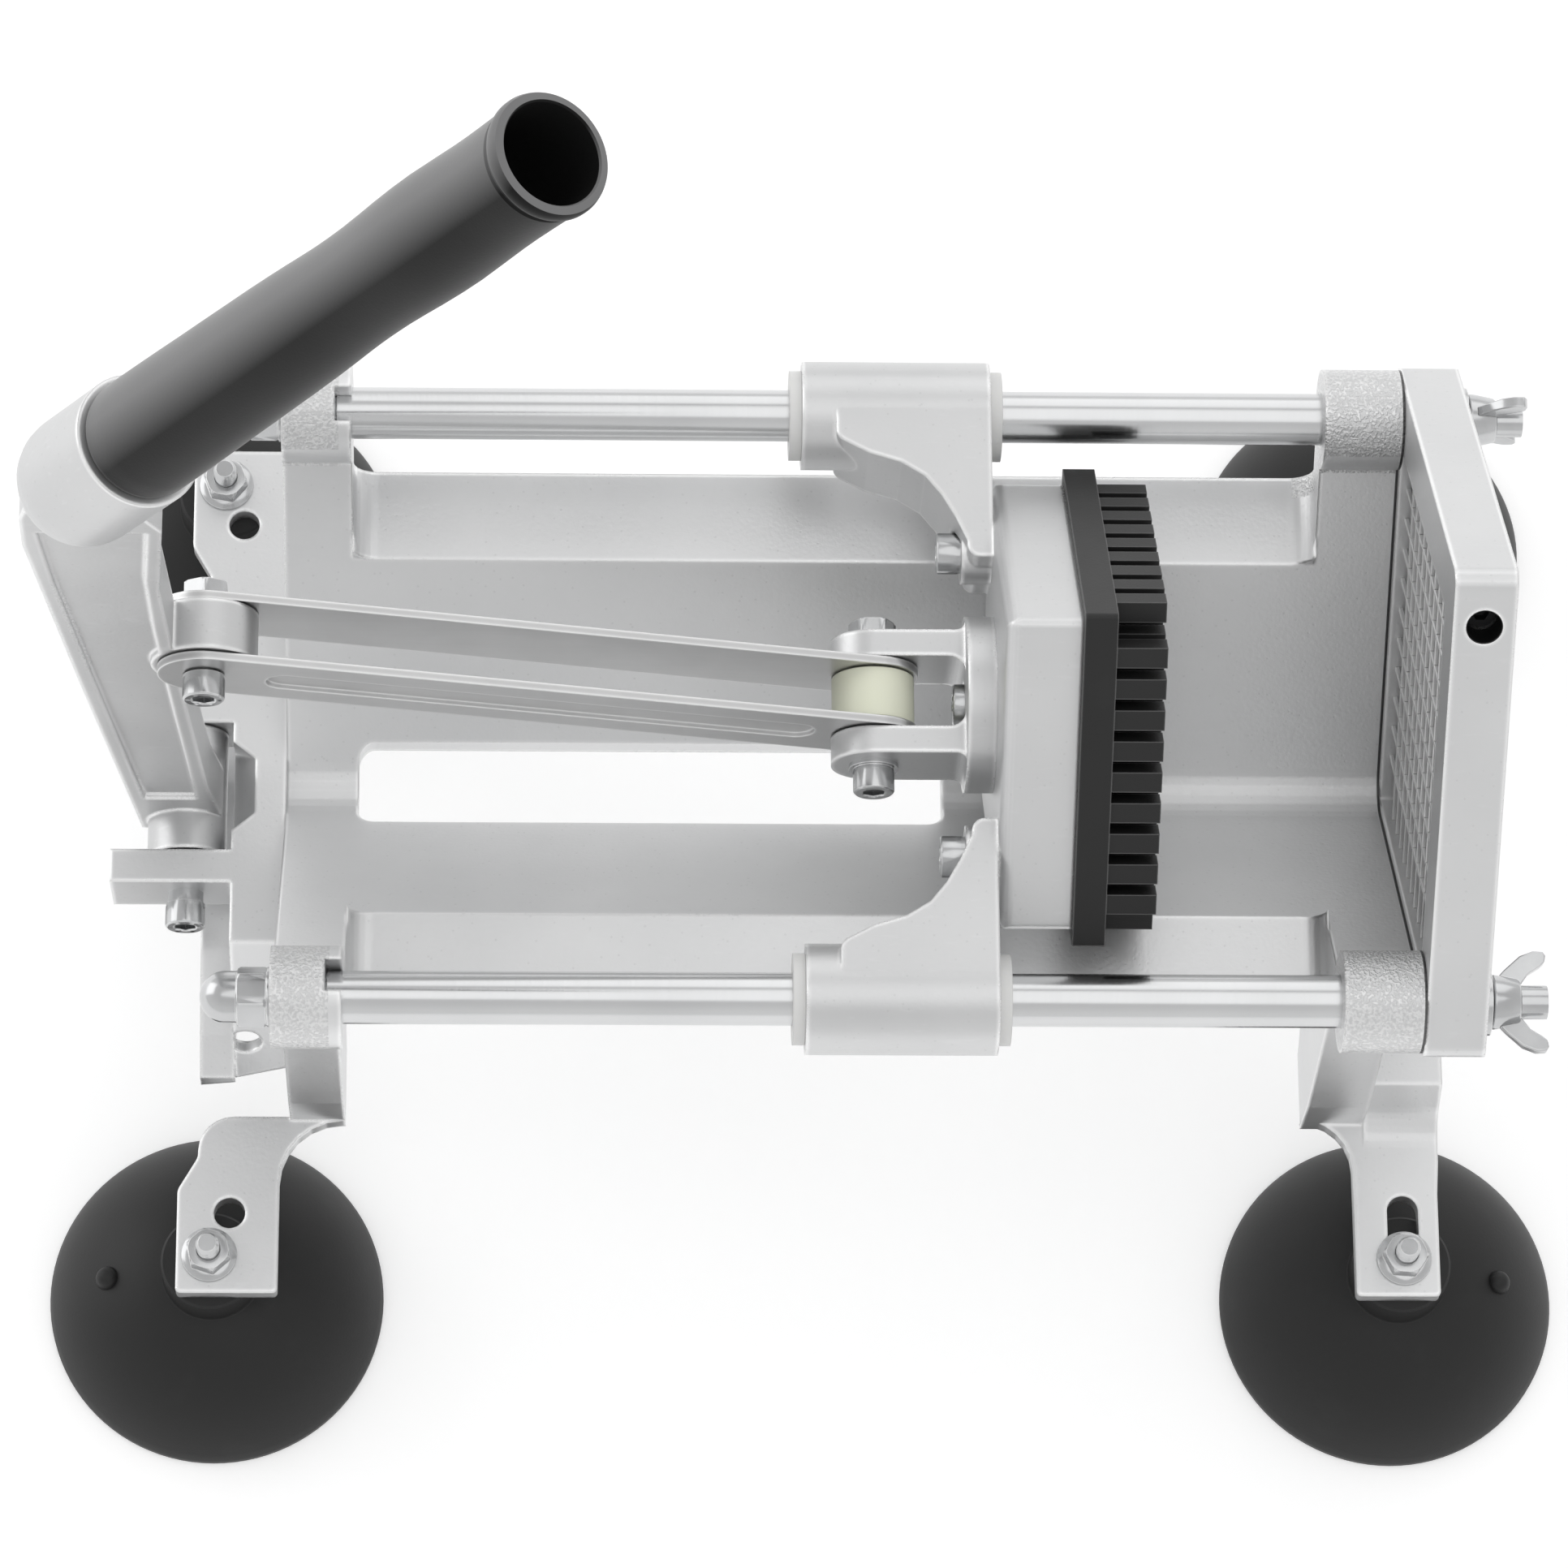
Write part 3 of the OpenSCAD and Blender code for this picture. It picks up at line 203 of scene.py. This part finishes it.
table_reach = 6
table_corners = [(x * table_reach, y * table_reach, 0) for x, y in ((-1, -1), (1, -1), (1, 1), (-1, 1))]
table_mesh = bpy.data.meshes.new("table")
table_mesh.from_pydata(table_corners, [], [(0, 1, 2, 3)])
table = bpy.data.objects.new("table", table_mesh)
bpy.context.collection.objects.link(table)
paper = Sheet("table_paper")
seen_direct = paper.node("ShaderNodeLightPath", out="Is Camera Ray")
seen_in_metal = paper.node("ShaderNodeLightPath", out="Is Glossy Ray")
fibre = paper.noise(900, 3)
table_mesh.materials.append(paper.done(
    Base_Color=paper.mix(fibre, (0.8, 0.8, 0.8), (0.84, 0.84, 0.84)),
    Roughness=0.9,
    Normal=paper.bump(fibre, 0.00004, 0.4),
    Emission_Color=paper.mix(seen_direct + seen_in_metal, (0, 0, 0), (1, 1, 1)),
    Emission_Strength=0.36))

# The room: white walls under a ceiling that is a little dimmer, and three
# broad soft lamps that face the machine, so metal shows long even reflections.
world = bpy.data.worlds.new("studio")
bpy.context.scene.world = world
world.use_nodes = True
room = world.node_tree
height = room.nodes.new("ShaderNodeSeparateXYZ")
wall = room.nodes.new("ShaderNodeValToRGB")
room.links.new(room.nodes.new("ShaderNodeTexCoord").outputs["Generated"], height.inputs[0])
room.links.new(height.outputs["Z"], wall.inputs[0])
room.links.new(wall.outputs[0], room.nodes["Background"].inputs["Color"])
room.nodes["Background"].inputs["Strength"].default_value = 0.85
for stop, (place, shade) in zip(wall.color_ramp.elements, ((0.3, 1.0), (0.88, 0.82))):
    stop.position = place
    stop.color = (shade, shade, shade, 1)
machine_middle = Vector((0, 0, 0.15))
for lamp_name, lamp_place, lamp_size in (
        ("lamp_left", (-1.7, 0.7, 0.8), 1.4),
        ("lamp_back", (0.6, 1.8, 1.6), 1.8),
        ("lamp_top", (0.3, -0.2, 2.4), 1.8)):
    lamp = bpy.data.lights.new(lamp_name, "AREA")
    lamp.size = lamp_size
    lamp.energy = 6
    stand = bpy.data.objects.new(lamp_name, lamp)
    bpy.context.collection.objects.link(stand)
    stand.location = lamp_place
    away = Vector(lamp_place) - machine_middle
    stand.rotation_euler = away.to_track_quat("Z", "Y").to_euler()


# The castings: trough, leg frames, blade holder, pusher, clevis and lever.
# Aluminium poured in moulds, trimmed, tumbled and left bare, so the faces are
# satin grey with a fine grain; edges and inner corners carry a painted highlight.
def cast_aluminium(name, shade, grain, rough_from=None, painted_shadow_x=None, screw_hole=None):
    """Cast metal with pits and scuffs. It is left sand rough where both X and
    Y are beyond rough_from. Past the X of painted_shadow_x it has a painted shadow,
    and within a screw hole, given by a point and its axis, painted shade."""
    sheet = Sheet(name)
    cloud = sheet.noise(26, 4)
    flow = sheet.noise(7, 2)
    sand = sheet.noise(950, 3)
    pits = sheet.node("ShaderNodeTexVoronoi", {}, {"Vector": sheet.place(), "Scale": 420.0})
    pitted = sheet.ramp(pits, (0.05, 1.0), (0.16, 0.0))
    tone = sheet.ramp(cloud * 0.6 + flow * 0.4, (0.32, 0.0), (0.68, 1.0))
    rubbing = sheet.noise(5, 4, sheet.stretched((30.0, 160.0, 60.0)))
    scuffs = sheet.ramp(rubbing, (0.62, 0.0), (0.7, 1.0))
    dull = (shade * 0.94, shade * 0.945, shade * 0.95)
    clean = (shade * 1.05, shade * 1.053, shade * 1.056)
    paint = sheet.mix(tone, dull, clean)
    paint = sheet.mix(pitted * 0.14, paint, (0.24, 0.24, 0.245))
    paint = sheet.mix(scuffs * 0.12, paint, (0.8, 0.8, 0.81))
    # Painted highlight: near-white along every edge and inner corner, with a lower roughness there.
    painted_edge_highlight = sheet.edges(0.002)
    paint = sheet.mix(painted_edge_highlight, paint, (0.98, 0.98, 0.98))
    relief = sand * 0.75 + (1 - pitted) * 0.25
    rough = 0.34 + sand * 0.08 + tone * 0.06 - painted_edge_highlight * 0.12
    if rough_from:
        boss_x, boss_y = rough_from
        boss = (abs(sheet.along("Y")) > boss_y) * (abs(sheet.along("X")) > boss_x)
        crust = boss * sheet.ramp(sheet.noise(1300, 2), (0.42, 0.0), (0.6, 1.0))
        paint = sheet.mix(boss * 0.3, paint, (0.4, 0.4, 0.405))
        paint = sheet.mix(crust * 0.5, paint, (0.9, 0.9, 0.9))
        relief = relief + crust * 3.0
    # Painted shadow: dark past that X, for the shade in the joint between the trough's front and the
    # blade holder.
    if painted_shadow_x:
        paint = sheet.mix((sheet.along("X") > painted_shadow_x) * 0.9, paint, (0.05, 0.05, 0.05))
    # Painted shade: near black on the casting within the set screw's hole.
    if screw_hole:
        hole = sheet.from_axis(*screw_hole) < 0.0043
        paint = sheet.mix(hole * 0.95, paint, (0.02, 0.02, 0.02))
    skin = sheet.bump(relief, 0.00012 * grain, 0.5, sheet.rounded(0.0013))
    return sheet.done(Base_Color=paint, Metallic=0.9, Roughness=rough, Normal=skin)


def dress(finish, *names):
    """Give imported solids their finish"""
    for name in names:
        mesh = machine["nodes"][name].data
        mesh.materials.clear()
        mesh.materials.append(finish)


boss_corner = (0.118, 0.0635)
# Where the painted shadow of the joint at the trough's front begins.
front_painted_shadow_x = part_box("trough_body")[1][0] - 0.0006
dress(cast_aluminium("trough_aluminium", 0.76, 1.0, boss_corner, front_painted_shadow_x), "trough_body")
dress(cast_aluminium("frame_aluminium", 0.75, 1.0), "rear_leg_frame", "front_leg_frame")
edge_hole = ((0.14985, -0.00382, 0.24502), (0, -0.7071, 0.7071))
dress(cast_aluminium("holder_aluminium", 0.7, 0.8, screw_hole=edge_hole), "blade_holder")
dress(cast_aluminium("pusher_aluminium", 0.67, 0.7), "pusher_carriage", "clevis")
dress(cast_aluminium("lever_aluminium", 0.62, 0.7), "lever_arm")


# Guide rods: half-inch bright bar, ground and polished, shouldered down at
# both ends to an M8 screw that clamps the end frames. The lever's bush and
# the tube in its grip are of the same steel.
thread_pitch = 1.1
thread_cut = 0.6
knurl_cut = 0.16


def turned(rows, steps=72):
    """Lathe rows (radius, height, form) round Z in millimetres. The forms are
    round, hex with radius as half the flats, screw and knurl; a fourth number
    holds a hex row inside that radius."""
    work = bmesh.new()
    rings = []
    for radius, height, *rest in rows:
        form = rest[0] if rest else "round"
        limit = rest[1] if len(rest) > 1 else 99
        ring = []
        for step in range(steps):
            turn = 2 * math.pi * step / steps
            reach = radius
            if form == "hex":
                off_flat = (turn + math.pi / 6) % (math.pi / 3) - math.pi / 6
                reach = min(limit, radius / math.cos(off_flat))
            elif form == "screw":
                reach -= thread_cut * abs((height / thread_pitch - step / steps) % 1 - 0.5)
            elif form == "knurl":
                reach -= knurl_cut * (step % 2)
            if radius == 0 and ring:
                ring.append(ring[0])
            else:
                point = (reach * math.cos(turn) / 1000, reach * math.sin(turn) / 1000, height / 1000)
                ring.append(work.verts.new(point))
        rings.append(ring)
    for lower, upper in zip(rings, rings[1:]):
        for step in range(steps):
            after = (step + 1) % steps
            face = list(dict.fromkeys((lower[step], lower[after], upper[after], upper[step])))
            if len(face) > 2:
                work.faces.new(face)
    return work


def screw_rows(radius, start, end):
    """Rows of a cut thread, six to each turn of it"""
    count = max(2, round((end - start) / (thread_pitch / 6)))
    return [(radius, start + (end - start) * row / count, "screw") for row in range(count + 1)]


def fit(work, at, axis, node, body, finish, spin=0.0):
    """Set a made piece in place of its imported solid, on the body that moves
    it: at in millimetres, its own Z along the axis, turned by spin degrees"""
    bmesh.ops.remove_doubles(work, verts=work.verts, dist=1e-7)
    bmesh.ops.recalc_face_normals(work, faces=work.faces)
    mesh = bpy.data.meshes.new(node + "_made")
    work.to_mesh(mesh)
    work.free()
    shift = Matrix.Translation(Vector(at) / 1000)
    swing = Vector(axis).to_track_quat("Z", "Y").to_matrix().to_4x4()
    mesh.transform(shift @ swing @ Matrix.Rotation(math.radians(spin), 4, "Z"))
    mesh.shade_smooth()
    mesh.set_sharp_from_angle(angle=math.radians(32))
    mesh.materials.append(finish)
    piece = bpy.data.objects.new(node + "_made", mesh)
    bpy.context.collection.objects.link(piece)
    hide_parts(node)
    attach(piece, body)
    return piece


def polished_steel():
    sheet = Sheet("polished_steel")
    rings = sheet.noise(3.0, 2, sheet.stretched((420.0, 3.0, 3.0)))
    smear = sheet.noise(40, 3)
    return sheet.done(
        Base_Color=sheet.mix(smear, (0.6, 0.605, 0.61), (0.68, 0.685, 0.69)),
        Metallic=1.0,
        Roughness=0.16 + rings * 0.08,
        Normal=sheet.bump(rings, 0.00002, 0.4))


bright_bar = polished_steel()
rod_side = 75
rod_up = 170
rod_rear_end = [(0, 0), (3.4, 0), (4, 0.7), (4, 24)]
rod_ground = [(5.9, 24), (6.35, 24.5), (6.35, 269.5), (5.9, 270), (4, 270)]
rod_front_end = screw_rows(4.0, 301, 311.4) + [(3.3, 312.2), (0, 312.2)]
for side, name in ((-rod_side, "guide_rod_near"), (rod_side, "guide_rod_far")):
    fit(turned(rod_rear_end + rod_ground + rod_front_end), (-143, side, rod_up), (1, 0, 0),
        name, "frame", bright_bar)
dress(bright_bar, "pivot_bush", "handle_tube")


# Acorn nuts on the rods' rear ends: pressed M8 domed nuts with a thin flange,
# zinc plated.
def zinc_plate():
    sheet = Sheet("zinc_plate")
    cloud = sheet.noise(140, 3)
    paint = sheet.mix(cloud, (0.46, 0.465, 0.47), (0.62, 0.625, 0.63))
    # Painted highlight: edges lightened towards white.
    paint = sheet.mix(sheet.edges(0.0004) * 0.8, paint, (0.95, 0.95, 0.95))
    skin = sheet.bump(cloud, 0.00003, 0.3, sheet.rounded(0.0003))
    return sheet.done(Base_Color=paint, Metallic=1.0, Roughness=0.14 + cloud * 0.12, Normal=skin)


zinc = zinc_plate()
plated = [part["node"] for part in machine["record"]["subparts"]
          if part["material_slot"] == "zinc_steel"]
dress(zinc, *plated)
dome_radius = 6.2
dome = []
for step in range(10):
    turn = math.radians(4 + 8.6 * step)
    dome.append((dome_radius * math.cos(turn), 10.8 + dome_radius * math.sin(turn)))
acorn_bore = [(0, 12.5), (4.05, 12.5), (4.05, 0)]
acorn_flange = [(7.0, 0), (7.2, 0.3), (7.2, 0.8), (6.9, 1)]
acorn_flats = [(6.5, 1, "hex", 7.0), (6.5, 1.5, "hex"), (6.5, 7.4, "hex"),
               (6.5, 7.9, "hex", 6.9), (6.35, 8), (6.2, 8.2)]
for side, name in ((-rod_side, "acorn_nut_near"), (rod_side, "acorn_nut_far")):
    fit(turned(acorn_bore + acorn_flange + acorn_flats + dome + [(0, 17)]),
        (-132, side, rod_up), (-1, 0, 0), name, "frame", zinc, 30)


# Wing nuts before the blade holder: hot-pressed, with two ears that splay
# away from the casting, zinc plated, on plain washers.
hub = [(4.05, 13.4), (4.05, 0), (6.2, 0), (6.6, 0.4), (6.3, 2.5), (5.5, 6.3), (5.2, 6.8),
       (4.6, 7.0), (4.05, 7.0)]
ear = ((1.2, 3.1), (1.2, 5.4), (3.4, 7.8), (7.2, 11.2), (10.4, 12.5), (12.8, 12.4), (13.5, 11.4),
       (13.2, 9.8), (12.0, 8.7), (9.2, 6.9), (7.0, 3.8))
for side, tilt, name, body in (
        (-rod_side, 90, "wing_nut_near", "wing_near"),
        (rod_side, 0, "wing_nut_far", "wing_far")):
    nut = turned(hub, 48)
    for way in (1, -1):
        cheeks = []
        for half_thick in (-1.1, 1.1):
            cheek = []
            for place, (up, out) in enumerate(ear):
                swell = 1.25 if 2 < place < 9 else 1.0
                cheek.append(nut.verts.new((half_thick * swell / 1000, way * out / 1000, up / 1000)))
            nut.faces.new(cheek)
            cheeks.append(cheek)
        left, right = cheeks
        for first in range(len(ear)):
            second = (first + 1) % len(ear)
            nut.faces.new((left[first], left[second], right[second], right[first]))
    piece = fit(nut, (159.1, side, rod_up), (1, 0, 0), name, body, zinc, tilt)
    soft = piece.modifiers.new("soft_edges", "BEVEL")
    soft.width = 0.0005
    soft.segments = 3
    soft.limit_method = "ANGLE"


# Suction cups: black rubber moulded round the head of a stud, each with a
# small round tab on its skirt for pulling it loose from the table.
def moulded_black(name, shade, rough, grain, sheen=0.0, edge=0.0, gloss=0.5, painted_light_ways=()):
    """Black rubber or plastic. Each way in painted_light_ways is a direction with
    the two shares of facing it between which painted light turns the black grey."""
    sheet = Sheet(name)
    bloom = sheet.noise(34, 4)
    grit = sheet.noise(1400, 2)
    scuff = sheet.ramp(sheet.noise(70, 5), (0.6, 0.0), (0.75, 1.0))
    paint = sheet.mix(bloom, (shade * 0.85,) * 3, (shade * 1.2,) * 3)
    paint = sheet.mix(scuff * 0.25, paint, (shade * 2.0,) * 3)
    # Painted highlight: edges lightened to grey, by the share given in edge.
    if edge:
        paint = sheet.mix(sheet.edges(0.0005) * edge, paint, (0.2, 0.2, 0.2))
    # Painted light: grey on faces turned towards each way.
    for way, start, end in painted_light_ways:
        painted_light_share = sheet.ramp(sheet.facing(way), (start, 0.0), (end, 1.0))
        paint = sheet.mix(painted_light_share, paint, (0.2, 0.2, 0.202))
    return sheet.done(
        Base_Color=paint,
        Roughness=rough + bloom * 0.14,
        Sheen_Weight=sheen,
        Sheen_Roughness=0.35,
        Specular_IOR_Level=gloss,
        Normal=sheet.bump(grit + scuff * 0.3, grain, 0.5))


rubber = moulded_black("cup_rubber", 0.013, 0.42, 0.00005, gloss=0.35)
foot_out = 151.9
foot_side = 104.8
skirt_curve = 45
skirt_foot = (43.1, 2.5)
skirt_head = (13, 30)
chord_mid = Vector((28.05, 16.25))
chord_out = Vector((27.5, 30.1)).normalized()
half_chord = 20.385
skirt_mid = chord_mid - chord_out * math.sqrt(skirt_curve ** 2 - half_chord ** 2)
start = math.atan2(skirt_foot[1] - skirt_mid.y, skirt_foot[0] - skirt_mid.x)
stop = math.atan2(skirt_head[1] - skirt_mid.y, skirt_head[0] - skirt_mid.x)
skirt = []
for step in range(17):
    turn = start + (stop - start) * step / 16
    skirt.append((skirt_mid.x + skirt_curve * math.cos(turn), skirt_mid.y + skirt_curve * math.sin(turn)))
hollow_curve = 66.17
hollow_drop = 54.17
hollow = []
for step in range(9):
    out = 4.75 * step
    hollow.append((out, math.sqrt(hollow_curve ** 2 - out ** 2) - hollow_drop))
lip = [(42.6, 0), (43.1, 0.5), (43.1, 2.0)]
neck = [(12.75, 30.3), (12.6, 31), (12.6, 40.4), (12.0, 41)]
stud_seat = [(3.05, 41), (3.05, 30.05), (8.05, 30.05), (8.05, 27), (0, 27)]
for end, side, name in (
        (-1, -1, "cup_rear_near"), (-1, 1, "cup_rear_far"),
        (1, -1, "cup_front_near"), (1, 1, "cup_front_far")):
    cup = turned(hollow + lip + skirt + neck + stud_seat, 96)
    knob = turned([(3.3, 18), (3.1, 23.4), (2.7, 24.9), (1.9, 25.8), (0.9, 26.2), (0, 26.3)], 32)
    bmesh.ops.translate(knob, verts=knob.verts, vec=(-end * 0.027, 0, 0))
    tab = bpy.data.meshes.new("tab")
    knob.to_mesh(tab)
    knob.free()
    cup.from_mesh(tab)
    bpy.data.meshes.remove(tab)
    fit(cup, (end * foot_out, side * foot_side, 0), (0, 0, 1), name, "frame", rubber)


# Foot studs and their flange nuts: M6, zinc plated, each stud's head buried
# in the rubber and its end standing a few threads out of the nut.
pad_top = 46
stud = [(0, 27), (8, 27), (8, 30), (3, 30), (3, pad_top)]
stud += screw_rows(3.0, pad_top, 57.2) + [(2.3, 58), (0, 58)]
flange_nut = [(3.05, 0), (6.9, 0), (7.1, 0.3), (7.0, 0.9), (6.0, 1.6), (5.0, 1.75, "hex", 5.7),
              (5.0, 2.2, "hex"), (5.0, 5.7, "hex"), (5.0, 6.3, "hex", 5.15), (4.4, 6.4),
              (3.05, 6.4), (3.05, 0)]
for end, side, where, spin in (
        (-1, -1, "rear_near", 12), (-1, 1, "rear_far", 20),
        (1, -1, "front_near", 26), (1, 1, "front_far", 5)):
    foot = (end * foot_out, side * foot_side)
    fit(turned(stud, 48), (*foot, 0), (0, 0, 1), "stud_" + where, "frame", zinc)
    fit(turned(flange_nut), (*foot, pad_top), (0, 0, 1),
        "nut_" + where, "frame", zinc, spin)


# Socket screws and their nuts: the hinge bolt of the lever, the bolts of the
# links, and the screws behind the pusher head and in the clevis. M6 cap
# screws with a knurled head.
def cap_screw(run, collar=(3, 0)):
    """A screw of that length under its head, with a plain collar of that
    radius and thickness there; its last 14 mm are cut with a thread"""
    head = [(0, -3), (2.5, -3, "hex"), (2.5, -5.7, "hex"), (3.0, -6), (4.5, -6), (4.85, -5.7)]
    head += [(5.0, -5.4, "knurl"), (5.0, -0.9, "knurl"), (4.9, -0.6), (4.9, 0)]
    collar_radius, collar_thick = collar
    if collar_thick:
        head += [(collar_radius, 0), (collar_radius, collar_thick), (3, collar_thick)]
    shank = [(3, collar_thick), (3, max(run - 14, 1))]
    shank += screw_rows(3.0, max(run - 14, 1.2), run - 0.7) + [(2.4, run), (0, run)]
    return turned(head + shank)


plain_nut = [(3.05, 0), (5.0, 0, "hex", 5.3), (5.0, 0.4, "hex"), (5.0, 4.6, "hex"),
             (5.0, 5.0, "hex", 5.3), (4.2, 5.0), (3.05, 5.0), (3.05, 0)]
clevis_up = 169.5
for name, body, place, run, collar in (
        ("pivot_bolt", "frame", (-157, -28.3, 97.5), 59.6, (4.4, 3.0)),
        ("clevis_bolt", "carriage", (12, -16.8, clevis_up), 38.5, (6.0, 1.1)),
        ("link_bolt", "lever", (-147.4, -9.0, 211.3), 24.0, (3, 0))):
    fit(cap_screw(run, collar), place, (0, 1, 0), name, body, zinc)
for name, body, place, spin in (
        ("pivot_nut", "frame", (-157, 25.3, 97.5), 0),
        ("clevis_nut", "carriage", (12, 15.7, clevis_up), 30),
        ("link_nut", "lever", (-147.4, 9.0, 211.3), 0)):
    fit(turned(plain_nut), place, (0, 1, 0), name, body, zinc, spin)
for name, place, run in (
        ("head_screw_near", (33.7, -39, rod_up), 28.9),
        ("head_screw_far", (33.7, 39, rod_up), 28.9),
        ("clevis_screw", (37.2, 0, clevis_up), 14.8)):
    fit(cap_screw(run), place, (1, 0, 0), name, "carriage", zinc)


# Grip: hollow moulded black plastic pushed over the steel tube, waisted for
# the hand, with a rolled ring at its open end. Painted light greys its upper
# back and the end face of the ring.
lean = math.radians(30.5)
grip_way = Vector((math.sin(lean), 0, math.cos(lean)))
grip_foot = Vector((-155.6, 0, 336.5))
grip_length = 178
grip_radius = 13.8
waist = (
    (0.004, 0.975), (0.012, 1), (0.05, 0.998), (0.09, 0.993), (0.15, 0.982), (0.2, 0.97),
    (0.26, 0.96), (0.31, 0.95), (0.37, 0.939), (0.42, 0.924), (0.46, 0.908), (0.5, 0.888),
    (0.53, 0.877), (0.56, 0.873), (0.6, 0.877), (0.64, 0.894), (0.68, 0.916), (0.72, 0.931),
    (0.76, 0.935), (0.81, 0.919), (0.86, 0.902), (0.89, 0.899), (0.92, 0.903), (0.967, 0.912))
end_ring = (
    (0.97, 0.886), (0.976, 0.886), (0.979, 0.95), (0.983, 0.968), (0.989, 0.968), (0.993, 0.955))
outside = [(share * grip_radius, run * grip_length) for run, share in waist + end_ring]
bore = [(12.9, 177.4), (11.3, 177.8), (10.95, 177.3), (10.6, 166), (10.3, 146), (9.6, 146), (9.6, 0)]
grip = turned([(9.6, 0), (13.0, 0)] + outside + bore, 96)
# Painted light and painted reflection: the grip's upper back and the upturned face of its end ring.
grip_painted_light_ways = (((-0.746, 0.5, 0.439), 0.2, 0.85), (tuple(grip_way), 0.8, 0.98))
grip_plastic = moulded_black(
    "grip_plastic", 0.007, 0.4, 0.00004, sheen=0.3, gloss=0.14, painted_light_ways=grip_painted_light_ways)
handle = fit(grip, grip_foot, grip_way, "handle_grip", "lever", grip_plastic)
handle.data.materials.append(moulded_black("grip_bore", 0.01, 0.5, 0.00004, gloss=0.2))
for face in handle.data.polygons:
    reach = (face.center - grip_foot / 1000).cross(grip_way).length
    face.material_index = int(reach < 0.0111)

# Pin block: one moulding of hard black plastic, a square plate with blunt
# square pins that pass between the blades; its edges carry a painted highlight.
dress(moulded_black("pin_plastic", 0.012, 0.4, 0.00005, edge=0.6, gloss=0.4), "pin_block")


# Roller between the links, and the four flanged bushes of the pusher: turned
# nylon, cream on the roller and white on the bushes.
def turned_nylon(name, first, second, tool):
    """Nylon between two colours, with tool marks that are fine where the
    three numbers of tool are high"""
    sheet = Sheet(name)
    rings = sheet.noise(3.0, 2, sheet.stretched(tool))
    return sheet.done(
        Base_Color=sheet.mix(sheet.noise(80, 3), first, second),
        Roughness=0.42,
        Subsurface_Weight=0.1,
        Subsurface_Radius=(0.002, 0.002, 0.0015),
        Normal=sheet.bump(rings, 0.00003, 0.4, sheet.rounded(0.0005)))


turned_round_y = (900.0, 30.0, 900.0)
turned_round_x = (30.0, 900.0, 900.0)
dress(turned_nylon("cream_nylon", (0.8, 0.82, 0.66), (0.84, 0.85, 0.7), turned_round_y), "nylon_roller")
dress(turned_nylon("white_nylon", (0.74, 0.74, 0.73), (0.8, 0.8, 0.79), turned_round_x),
      "bush_near_rear", "bush_near_front", "bush_far_rear", "bush_far_front")


# Links: two straps stamped from steel strip with a pressed channel, and the
# blades: strip steel, ground along their length and notched to cross.
def rolled_steel(name, shade, rough, metal, edge, ground_to=None):
    """Strip steel with grain along X, with a painted highlight on edges of that
    radius, and bright on the side of ground_to where X is smaller"""
    sheet = Sheet(name)
    grain = sheet.noise(2.0, 3, sheet.stretched((12.0, 400.0, 400.0)))
    smear = sheet.noise(60, 3)
    paint = sheet.mix(smear, (shade * 0.92,) * 3, (shade * 1.08,) * 3)
    # Painted highlight: edges lightened towards white.
    paint = sheet.mix(sheet.edges(edge) * 0.8, paint, (0.95, 0.95, 0.95))
    if ground_to:
        ground = sheet.along("X") < ground_to
        paint = sheet.mix(ground * 0.9, paint, (0.97, 0.97, 0.97))
    skin = sheet.bump(grain, 0.00003, 0.5, sheet.rounded(0.0004))
    return sheet.done(Base_Color=paint, Metallic=metal, Roughness=rough + grain * 0.12, Normal=skin)


dress(rolled_steel("strap_steel", 0.6, 0.28, 1.0, 0.0013), "link_strap_near", "link_strap_far")
ground_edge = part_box("blades_rising")[0][0] + 0.0009
blade_steel = rolled_steel("blade_steel", 0.5, 0.3, 0.9, 0.0004, ground_edge)
dress(blade_steel, "blades_rising", "blades_falling")

# Set screw in the blade holder's upper edge: hardened steel, blackened in oil
# and screwed straight into the casting.
blacked = Sheet("blackened_steel")
oil = blacked.noise(160, 3)
blacked.done(
    Base_Color=blacked.mix(oil, (0.018, 0.018, 0.02), (0.035, 0.035, 0.036)),
    Metallic=0.3,
    Roughness=0.5 + oil * 0.15,
    Normal=blacked.bump(oil, 0.00003, 0.4))
dress(blacked.material, "blade_set_screw")
